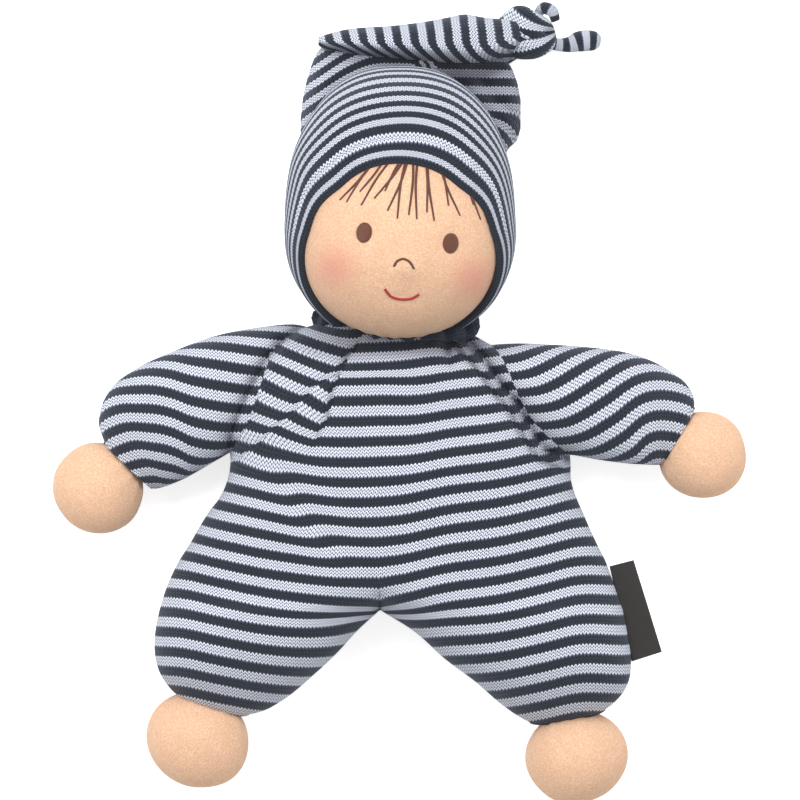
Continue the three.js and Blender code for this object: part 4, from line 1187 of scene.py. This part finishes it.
# The fold behind the dome: place, lower and upper edge in plan, middle height and half thickness
FOLD_ROWS = (
    (-32.4, 133, 138, 12, 3), (-31.2, 126, 147, 13, 8), (-28.6, 123, 156.5, 15, 12),
    (-26.4, 122, 161.5, 15.5, 14), (-23.5, 121, 164.6, 16, 15), (-16, 121, 166, 16, 15),
    (-6, 122, 166, 16, 15), (4, 122, 165.5, 16, 15), (14, 121, 165, 16, 15), (24, 119, 163.5, 16, 15),
    (33, 118, 162, 16, 14.5), (39, 121, 160, 15.5, 13.5), (43, 127, 157.5, 15, 12),
    (45.6, 129.5, 152, 14, 9), (47.2, 134, 145, 13, 3.5),
)
FOLD_COLUMNS, FOLD_RINGS = 80, 70
# Creases at the right of the fold: line, half width and depth
FOLD_CREASES = ((((33, 151), (40, 142), (47, 136)), 2.0, 2.4), (((36, 140), (45, 131), (47, 126)), 1.8, 2.0))
# The fold's stripes: one of them on the left, in plan, and the spacings left and right
LEFT_FOLD_STRIPE = profile((-40, 134), (-33.8, 142.2), (-24.8, 148.3), (-13.7, 155.2), (-6.1, 158),
                           (1.1, 158.4), (12, 158))
LEFT_FOLD_PITCH, RIGHT_FOLD_PITCH, FOLD_FAN = 5.5, 6.1, 0.09


def fold_stripes(points):
    """Sloping stripes on the left of the fold, level ones on the right that fan out downwards."""
    x, y = points[..., 0], points[..., 1]
    left = (y - LEFT_FOLD_STRIPE(x)) / LEFT_FOLD_PITCH
    fan = np.maximum(141 - y, 0)
    right = (y - 150.3 + fan * (x - 40) * FOLD_FAN) / RIGHT_FOLD_PITCH
    share = eased((x - 8) / 10)
    return left * (1 - share) + (right + 1) * share


def cap_fold():
    """The part of the cap that lies folded behind the dome: upright rings from left to right, with painted shade
    on its right part and beside the tail and the dome.
    """
    rings = []
    for x, low, high, height, half in smooth_path(FOLD_ROWS, FOLD_RINGS):
        middle = np.array([x, (low + high) / 2, height])
        rings.append(oval(middle, np.array([0, -(high - low) / 2, 0]), half * UPWARD, FOLD_COLUMNS))
    rings = settled(np.array(rings))
    x, y = rings[..., 0], rings[..., 1]
    wave = 1.3 * np.sin((x + 0.5 * y) / 6.5) * eased((rings[..., 2] - 14) / 6) * eased((x - 20) / 12)
    rings[..., 2] += wave + lumps(rings, 14, 1.2, 31)
    flat = rings.reshape(-1, 3)
    for line, width, depth in FOLD_CREASES:
        side, _ = near_line(flat, line)
        flat[:, 2] -= depth * bell(side, width) * eased((flat[:, 2] - 14) / 6)
    rings = flat.reshape(rings.shape)
    cloth = np.stack([wrapped(x) / STITCH_WIDTH, wrapped(fold_stripes(rings))], axis=-1)
    under_tail = y - np.interp(x, [row[0] for row in TAIL_ROWS], [row[1] for row in TAIL_ROWS])
    outline = HEAD_MIDDLE[1] + DOME_TOP_HALF * crown((x - HEAD_MIDDLE[0]) / DOME_HALF, 2 + DOME_FULLER)
    # Painted shade: the right part of the fold is darker throughout, darker still by and behind the tail's lower
    # edge, and next to the dome's outline
    shade = 0.42 * eased((x - 12) / 14) + 0.5 * np.exp(-np.abs(np.minimum(under_tail, 0)) / 3.2)
    shade += 0.4 * np.exp(-np.maximum(y - outline, 0) / 3)
    return keep_painted_shade(skin("cap_fold_cloth", rings, cloth, STRIPED), shade)


cap_fold_cloth = cap_fold()

TAIL_COLUMNS, TAIL_RINGS = 72, 90
# The tail's front, from its upper to its lower edge: height in half thicknesses, and how far a stripe goes
# to the left; and how far its back stands out
TAIL_FRONT = profile((0, 0), (0.04, 0.38), (0.14, 0.72), (0.32, 0.93), (0.48, 1), (0.57, 0.93), (0.66, 0.55),
                     (0.8, -0.1), (1, -0.8))
TAIL_SHIFT = profile((0, -1.0), (0.25, -0.3), (0.5, 0.8), (0.62, 3), (0.8, 9), (1, 17))
TAIL_BACK = 0.8
TAIL_PITCH = 6.12


def cap_tail():
    """The tail of the cap, doubled over so that its lower edge turns in; it runs to the knot, and its underside
    gets painted shade.
    """
    turn = turns(TAIL_COLUMNS)
    share = (1 - np.cos(turn)) / 2
    back = np.maximum(share, np.sqrt(np.maximum(0, share * (2 - share))))
    front = np.where(turn <= math.pi, TAIL_FRONT(share), -TAIL_BACK * back)
    rings = np.array([
        np.stack([np.full_like(share, x), high - (high - low) * share, height + half * front], axis=1)
        for x, low, high, height, half in smooth_path(TAIL_ROWS, TAIL_RINGS)])
    places = rings[..., 0]
    stripes = (places - TAIL_SHIFT(share) * eased((places + 30) / 14) + 15.5) / TAIL_PITCH
    rings = lumpy(settled(rings), 12, 0.8, 33)
    cloth = np.stack([stitch_count(rings), -wrapped(stripes)], axis=-1)
    # Painted shade on the lower part of the tail, which turns under and faces away from the lights
    under = np.broadcast_to(0.75 * eased((share - 0.56) / 0.2), stripes.shape)
    return keep_painted_shade(skin("cap_tail_cloth", rings, cloth, STRIPED), under)


cap_tail_cloth = cap_tail()

KNOT = np.array([49.6, 168.6, 10.6])
KNOT_COLUMNS, KNOT_ROWS = 72, 40
# Its core: half its sizes, how much thicker its left end is, and how much lower its right end lies
KNOT_HALF, KNOT_TAPER, KNOT_TILT = (10.9, 9.6, 9.8), 0.16, 1.2
# Its grooves: line in plan, half width and depth
KNOT_GROOVES = (
    (((40, 164), (47, 166.5), (55, 166), (60.5, 169)), 1.5, 2.2),
    (((43, 176), (49, 173.5), (55, 170), (60, 169)), 1.4, 1.8),
)
# Its stripes fan out from a place beside the tip: degrees for a stripe, and degrees they wind a millimetre
FAN_PLACE, FAN_STEP, FAN_WIND = (62, 171), 34, 1.6
# The strap that crosses it and the loop above it: x, y, z and radius
KNOT_ROLLS = (
    ("knot_strap", ((39.6, 158.5, 7, 1.6), (39.8, 162, 12, 2.3), (40.6, 167, 14.5, 2.5),
                    (42.4, 172, 12.5, 2.1), (44.4, 175, 8, 1.5))),
    ("knot_loop", ((53.5, 176, 7, 1.6), (55.8, 178, 10, 2.2), (58.6, 176.8, 11, 2.2), (60, 173.4, 10, 1.6))),
)
TIP_PATH = ((54, 167, 9, 2.2), (58, 165.4, 8.6, 2.2), (61.2, 164.8, 8, 2.3), (64.8, 164.9, 7.4, 2.8),
            (68.4, 166, 7, 3.7), (72, 166.4, 6.6, 3.8), (75, 166.2, 6.2, 3.1), (76.2, 166, 6, 1.9))
# Cloth round such a roll, and the stripes across a millimetre of its length
ROLL_CLOTH, KNOT_STRIPES, TIP_STRIPES = 24, 0.19, 0.2


def rolled(name, path, count, sides, flat, stripes):
    """A roll of striped jersey along a path of x, y, z and radius, with its stripes across it."""
    path = smooth_path(path, count)
    piece = tube(name, path[:, :3], path[:, 3], STRIPED, sides, flat)
    data = piece.data.uv_layers["cloth"].data
    values = np.zeros(len(data) * 2, np.float32)
    data.foreach_get("uv", values)
    values = values.reshape(-1, 2)
    swapped = np.stack([values[:, 1] * ROLL_CLOTH / STITCH_WIDTH, values[:, 0] * stripes], axis=1)
    data.foreach_set("uv", swapped.ravel())
    return piece


def cap_knot():
    """The tied knot: a lumpy core, a strap that crosses it and a small loop above it."""
    turn = turns(KNOT_COLUMNS)
    rings = []
    for angle in np.linspace(0.04, math.pi - 0.04, KNOT_ROWS):
        x = -math.cos(angle)
        thick = math.sin(angle) * (1 - KNOT_TAPER * x)
        rings.append(KNOT + np.stack([np.full(KNOT_COLUMNS, x * KNOT_HALF[0]),
                                      -thick * np.cos(turn) * KNOT_HALF[1] - KNOT_TILT * x,
                                      thick * np.sin(turn) * KNOT_HALF[2]], axis=1))
    rings = settled(np.array(rings))
    out = outward(rings, KNOT)
    flat = rings.reshape(-1, 3)
    groove = np.zeros(len(flat))
    for line, width, depth in KNOT_GROOVES:
        side, _ = near_line(flat, line)
        groove += depth * bell(side, width)
    groove *= eased((flat[:, 2] - 8) / 6)
    rings = rings - (groove.reshape(rings.shape[:2]) - lumps(rings, 7, 0.9, 35))[..., None] * out
    x, y = FAN_PLACE
    gap = np.hypot(rings[..., 0] - x, rings[..., 1] - y)
    slope = np.degrees(np.arctan2(y - rings[..., 1], x - rings[..., 0])) + FAN_WIND * gap
    cloth = np.stack([wrapped(gap / STITCH_WIDTH), wrapped(slope / FAN_STEP)], axis=-1)
    core = skin("knot_core", rings, cloth, STRIPED)
    rolls = [rolled(name, path, 40, 20, 0.75, KNOT_STRIPES) for name, path in KNOT_ROLLS]
    return joined("cap_knot_cloth", [core, *rolls])


cap_knot_cloth = cap_knot()
cap_tip_cloth = rolled("cap_tip_cloth", TIP_PATH, 44, 24, 0.95, TIP_STRIPES)


# ---- neck, neckband and label ----

NECK_MIDDLE = np.array([2.2, 64, 27.5])
NECK_RIGHT = (1.0, -0.055, 0)
# The neck inside the band: places along it, and radii
NECK_RINGS = ((-9, 13), (-6, 15.4), (-2, 15.8), (3, 15.6), (8, 16.4), (12, 17))
# The neckband: its half sizes across the neck and through it, and its section, along the neck and outward
BAND_COLUMNS, BAND_WIDE, BAND_DEEP = 288, 26.5, 16.5
BAND_ROWS = ((-3.2, 0.0), (-2.0, 2.6), (0.4, 3.4), (2.8, 2.8), (3.8, 0.4), (2.6, -2.2), (0, -3.2),
             (-2.4, -2.4))
# Its large and small ruffles: height, and how many go round
LARGE_RUFFLES, SMALL_RUFFLES = (1.1, 19), (0.5, 31)
# The cloth's coordinates from one column to the next and from one row to the next
BAND_CLOTH = np.array([0.9, 0.16])


def neck_frame():
    """The ways across the neck to the right and through it."""
    right = np.array(NECK_RIGHT)
    right /= np.linalg.norm(right)
    through = np.cross(right, NECK_WAY)
    return right, through / np.linalg.norm(through)


def neck_stub():
    """The gathered end of the head's skin, inside the neckband."""
    right, through = neck_frame()
    rings = np.array([oval(NECK_MIDDLE + NECK_WAY * place, right * radius, through * radius, 64)
                      for place, radius in NECK_RINGS])
    return skin("neck_velour", rings, None, VELOUR)


neck_velour = neck_stub()


def ruffled_band():
    """The neckband: plain jersey turned over itself and drawn together in small ruffles."""
    right, through = neck_frame()
    turn = turns(BAND_COLUMNS)
    ruffle = LARGE_RUFFLES[0] * np.sin(turn * LARGE_RUFFLES[1] + 0.7 * np.sin(3 * turn))
    ruffle += SMALL_RUFFLES[0] * np.sin(turn * SMALL_RUFFLES[1] + 2)
    rings = []
    for along, out in BAND_ROWS:
        wide = BAND_WIDE + out + 0.55 * ruffle
        deep = BAND_DEEP + out + 0.55 * ruffle
        ring = NECK_MIDDLE + NECK_WAY * (along - 0.6) + 0.5 * ruffle[:, None] * NECK_WAY
        rings.append(ring + (np.cos(turn) * wide)[:, None] * right + (np.sin(turn) * deep)[:, None] * through)
    rings = np.array(rings).transpose(1, 0, 2)
    verts = rings.reshape(-1, 3)
    count, around = rings.shape[:2]
    row, column = (grid.ravel() for grid in np.mgrid[:count, :around])
    beside, below = (column + 1) % around, (row + 1) % count * around
    quads = np.stack([row * around + column, row * around + beside, below + beside, below + column], axis=1)
    cloth = np.stack([column, row], axis=1) * BAND_CLOTH
    steps = np.array([[0, 0], [1, 0], [1, 1], [0, 1]]) * BAND_CLOTH
    loops = (cloth[:, None] + steps[None]).reshape(-1, 2)
    normals = vertex_normals(verts, quads)[quads].reshape(-1, 3)
    return make_piece("neckband_cloth", verts, quads, NAVY, loops, normals)


neckband_cloth = ruffled_band()

LABEL_CORNERS = np.array([(79.0, -23.9), (87.7, -21.6), (97.9, -54.7), (87.0, -58.2)])
LABEL_HEIGHT = 24.0
LABEL_THICKNESS = 0.7
LABEL_COLUMNS, LABEL_ROWS = 14, 44
# How far its free edge stands up, how high it waves along its length, and the wave's radians over the length
LABEL_LIFT, LABEL_WAVE, LABEL_WAVE_TURN = 0.9, 0.35, 5


def side_label():
    """A woven tag, sewn in at its left edge and slightly bent."""
    u, v = np.meshgrid(np.linspace(0, 1, LABEL_COLUMNS), np.linspace(0, 1, LABEL_ROWS))
    a, b, c, d = LABEL_CORNERS
    left, right = (near + v[..., None] * (far - near) for near, far in ((a, d), (b, c)))
    flat = left + u[..., None] * (right - left)
    bend = LABEL_HEIGHT + LABEL_LIFT * u**2 + LABEL_WAVE * np.sin(v * LABEL_WAVE_TURN) * u
    rings = []
    for row in range(LABEL_ROWS):
        top = np.column_stack([flat[row], bend[row] + LABEL_THICKNESS / 2])
        low = np.column_stack([flat[row], bend[row] - LABEL_THICKNESS / 2])[::-1]
        rings.append(np.concatenate([top, low]))
    rings = np.array(rings)[::-1]
    cloth = np.concatenate([rings[..., :2], rings[:, :1, :2]], axis=1)
    return skin("side_label_tape", rings, cloth, LABEL_CLOTH)


side_label_tape = side_label()


# ---- what each piece stands for, and what it moves with ----

PIECES = (
    (trunk_cloth, "torso", "striped_jersey", ("suit_body", "body_stuffing"), 0.9),
    (left_leg_cloth, None, "striped_jersey", ("left_leg_cover", "left_leg_stuffing"), 0.9),
    (right_leg_cloth, None, "striped_jersey", ("right_leg_cover", "right_leg_stuffing"), 0.9),
    (left_sleeve_cloth, None, "striped_jersey", ("left_sleeve", "left_arm_stuffing"), 0.9),
    (right_sleeve_cloth, None, "striped_jersey", ("right_sleeve", "right_arm_stuffing"), 0.9),
    (left_hand_ball, "left_hand", "velour", ("left_hand_skin", "left_hand_stuffing", "left_hand_tie"), 1.0),
    (right_hand_ball, "right_hand", "velour", ("right_hand_skin", "right_hand_stuffing", "right_hand_tie"), 1.0),
    (left_foot_ball, "left_foot", "velour", ("left_foot_skin", "left_foot_stuffing", "left_foot_tie"), 1.0),
    (right_foot_ball, "right_foot", "velour", ("right_foot_skin", "right_foot_stuffing", "right_foot_tie"), 1.0),
    (head_velour, "head", "velour", ("head_skin", "head_stuffing"), 1.0),
    (left_eye_stitches, "head", "eye_thread", ("left_eye",), None),
    (right_eye_stitches, "head", "eye_thread", ("right_eye",), None),
    (nose_stitches, "head", "hair_thread", ("nose",), None),
    (mouth_stitches, "head", "mouth_thread", ("mouth",), None),
    (hair_stitches, "head", "hair_thread", ("hair",), None),
    (cap_dome_cloth, "head", "striped_jersey", ("cap_crown", "cap_hem"), 0.9),
    (cap_fold_cloth, "head", "striped_jersey", ("cap_fold",), 0.3),
    (cap_tail_cloth, None, "striped_jersey", ("cap_tail",), 0.3),
    (cap_knot_cloth, "cap_tail", "striped_jersey", ("cap_knot",), 0.8),
    (cap_tip_cloth, "cap_tail", "striped_jersey", ("cap_tip",), 0.5),
    (neck_velour, "neck", "velour", ("neck_stub", "neck_tie"), 1.0),
    (neckband_cloth, "torso", "plain_jersey", ("neckband",), 0.8),
    (side_label_tape, "side_label", "label_cloth", ("side_label",), None),
)
# Skins over a joint: from one body, to another, over a way in plan. Only their placement is baked into their
# corners here; the bodies and ways are not used.
BENDS = (
    (left_leg_cloth, "torso", "left_leg", (-43.3, -38), (-47.5, -71)),
    (right_leg_cloth, "torso", "right_leg", (40, -38), (43, -71)),
    (left_sleeve_cloth, "torso", "left_arm", (-45, 38), (-70, 31)),
    (right_sleeve_cloth, "torso", "right_arm", (44, 35), (70, 33)),
    (cap_tail_cloth, "head", "cap_tail", (24, 164), (39, 164)),
)

for piece, body, finish, nodes, fill in PIECES:
    if body is not None:
        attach(piece, body)
    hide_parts(*nodes)
for piece, first, second, start, end in BENDS:
    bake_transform(piece)


# ---- surroundings ----

# The floor and the sky are white where they are seen; the sky lights the doll more softly
FLOOR_COLOUR, FLOOR_GLOW, FLOOR_HALF = (0.9, 0.9, 0.9, 1), 0.7, 3
SKY_LIGHT = 0.46
# Softboxes: name, place, size and power, all turned to the doll
SOFTBOXES = (("overhead softbox", (-0.25, 0.75, 1.4), 0.8, 17), ("left softbox", (-1.0, 0.15, 0.9), 0.7, 4.5),
             ("right softbox", (1.0, 0.25, 0.9), 0.7, 5.5))
SOFTBOX_AIM = Vector((0, 0.03, 0.02))
CAMERA_PLACE, CAMERA_LENS, CAMERA_SENSOR, CAMERA_REACH = (0.0036, 0.036, 2.425), 300, 36, 20


def seen_share(tree):
    """1 on what the camera sees, straight on or in a shine, and 0 on what only lights the scene."""
    path = node(tree, "ShaderNodeLightPath").outputs
    seen = sums(tree, "ADD", path["Is Camera Ray"], path["Is Glossy Ray"], clamp=True)
    return sums(tree, "ADD", seen, path["Is Transmission Ray"], clamp=True)


def floor_material():
    made = bpy.data.materials.new("pale floor")
    made.use_nodes = True
    tree = made.node_tree
    tree.nodes.clear()
    matte = node(tree, "ShaderNodeBsdfDiffuse", [("Color", FLOOR_COLOUR)]).outputs[0]
    glow = node(tree, "ShaderNodeEmission", [("Strength", FLOOR_GLOW)]).outputs[0]
    bright = node(tree, "ShaderNodeAddShader", [(0, matte), (1, glow)]).outputs[0]
    mixed = node(tree, "ShaderNodeMixShader", [(0, seen_share(tree)), (1, matte), (2, bright)]).outputs[0]
    node(tree, "ShaderNodeOutputMaterial", [("Surface", mixed)])
    return made


def placed(name, data, place):
    """An object at a place in metres."""
    made = bpy.data.objects.new(name, data)
    made.location = place
    bpy.context.scene.collection.objects.link(made)
    return made


def surroundings():
    scene = bpy.context.scene
    scene.view_settings.view_transform = "Standard"
    world = bpy.data.worlds.new("studio")
    world.use_nodes = True
    tree = world.node_tree
    sky = tree.nodes["Background"].inputs
    sky["Color"].default_value = (1, 1, 1, 1)
    extra = sums(tree, "MULTIPLY", seen_share(tree), 1 - SKY_LIGHT)
    feed(tree, sky["Strength"], sums(tree, "ADD", extra, SKY_LIGHT))
    scene.world = world
    mesh = bpy.data.meshes.new("floor")
    corners = [(x * FLOOR_HALF, y * FLOOR_HALF, 0) for x, y in ((-1, -1), (1, -1), (1, 1), (-1, 1))]
    mesh.from_pydata(corners, [], [(0, 1, 2, 3)])
    mesh.materials.append(floor_material())
    placed("floor", mesh, (0, 0, 0))
    for name, place, size, power in SOFTBOXES:
        lamp = bpy.data.lights.new(name, "AREA")
        lamp.size, lamp.energy = size, power
        turned = (SOFTBOX_AIM - Vector(place)).to_track_quat("-Z", "Y").to_euler()
        placed(name, lamp, place).rotation_euler = turned
    camera = bpy.data.cameras.new("front")
    camera.lens, camera.sensor_width, camera.clip_end = CAMERA_LENS, CAMERA_SENSOR, CAMERA_REACH
    scene.camera = placed("front", camera, CAMERA_PLACE)


surroundings()
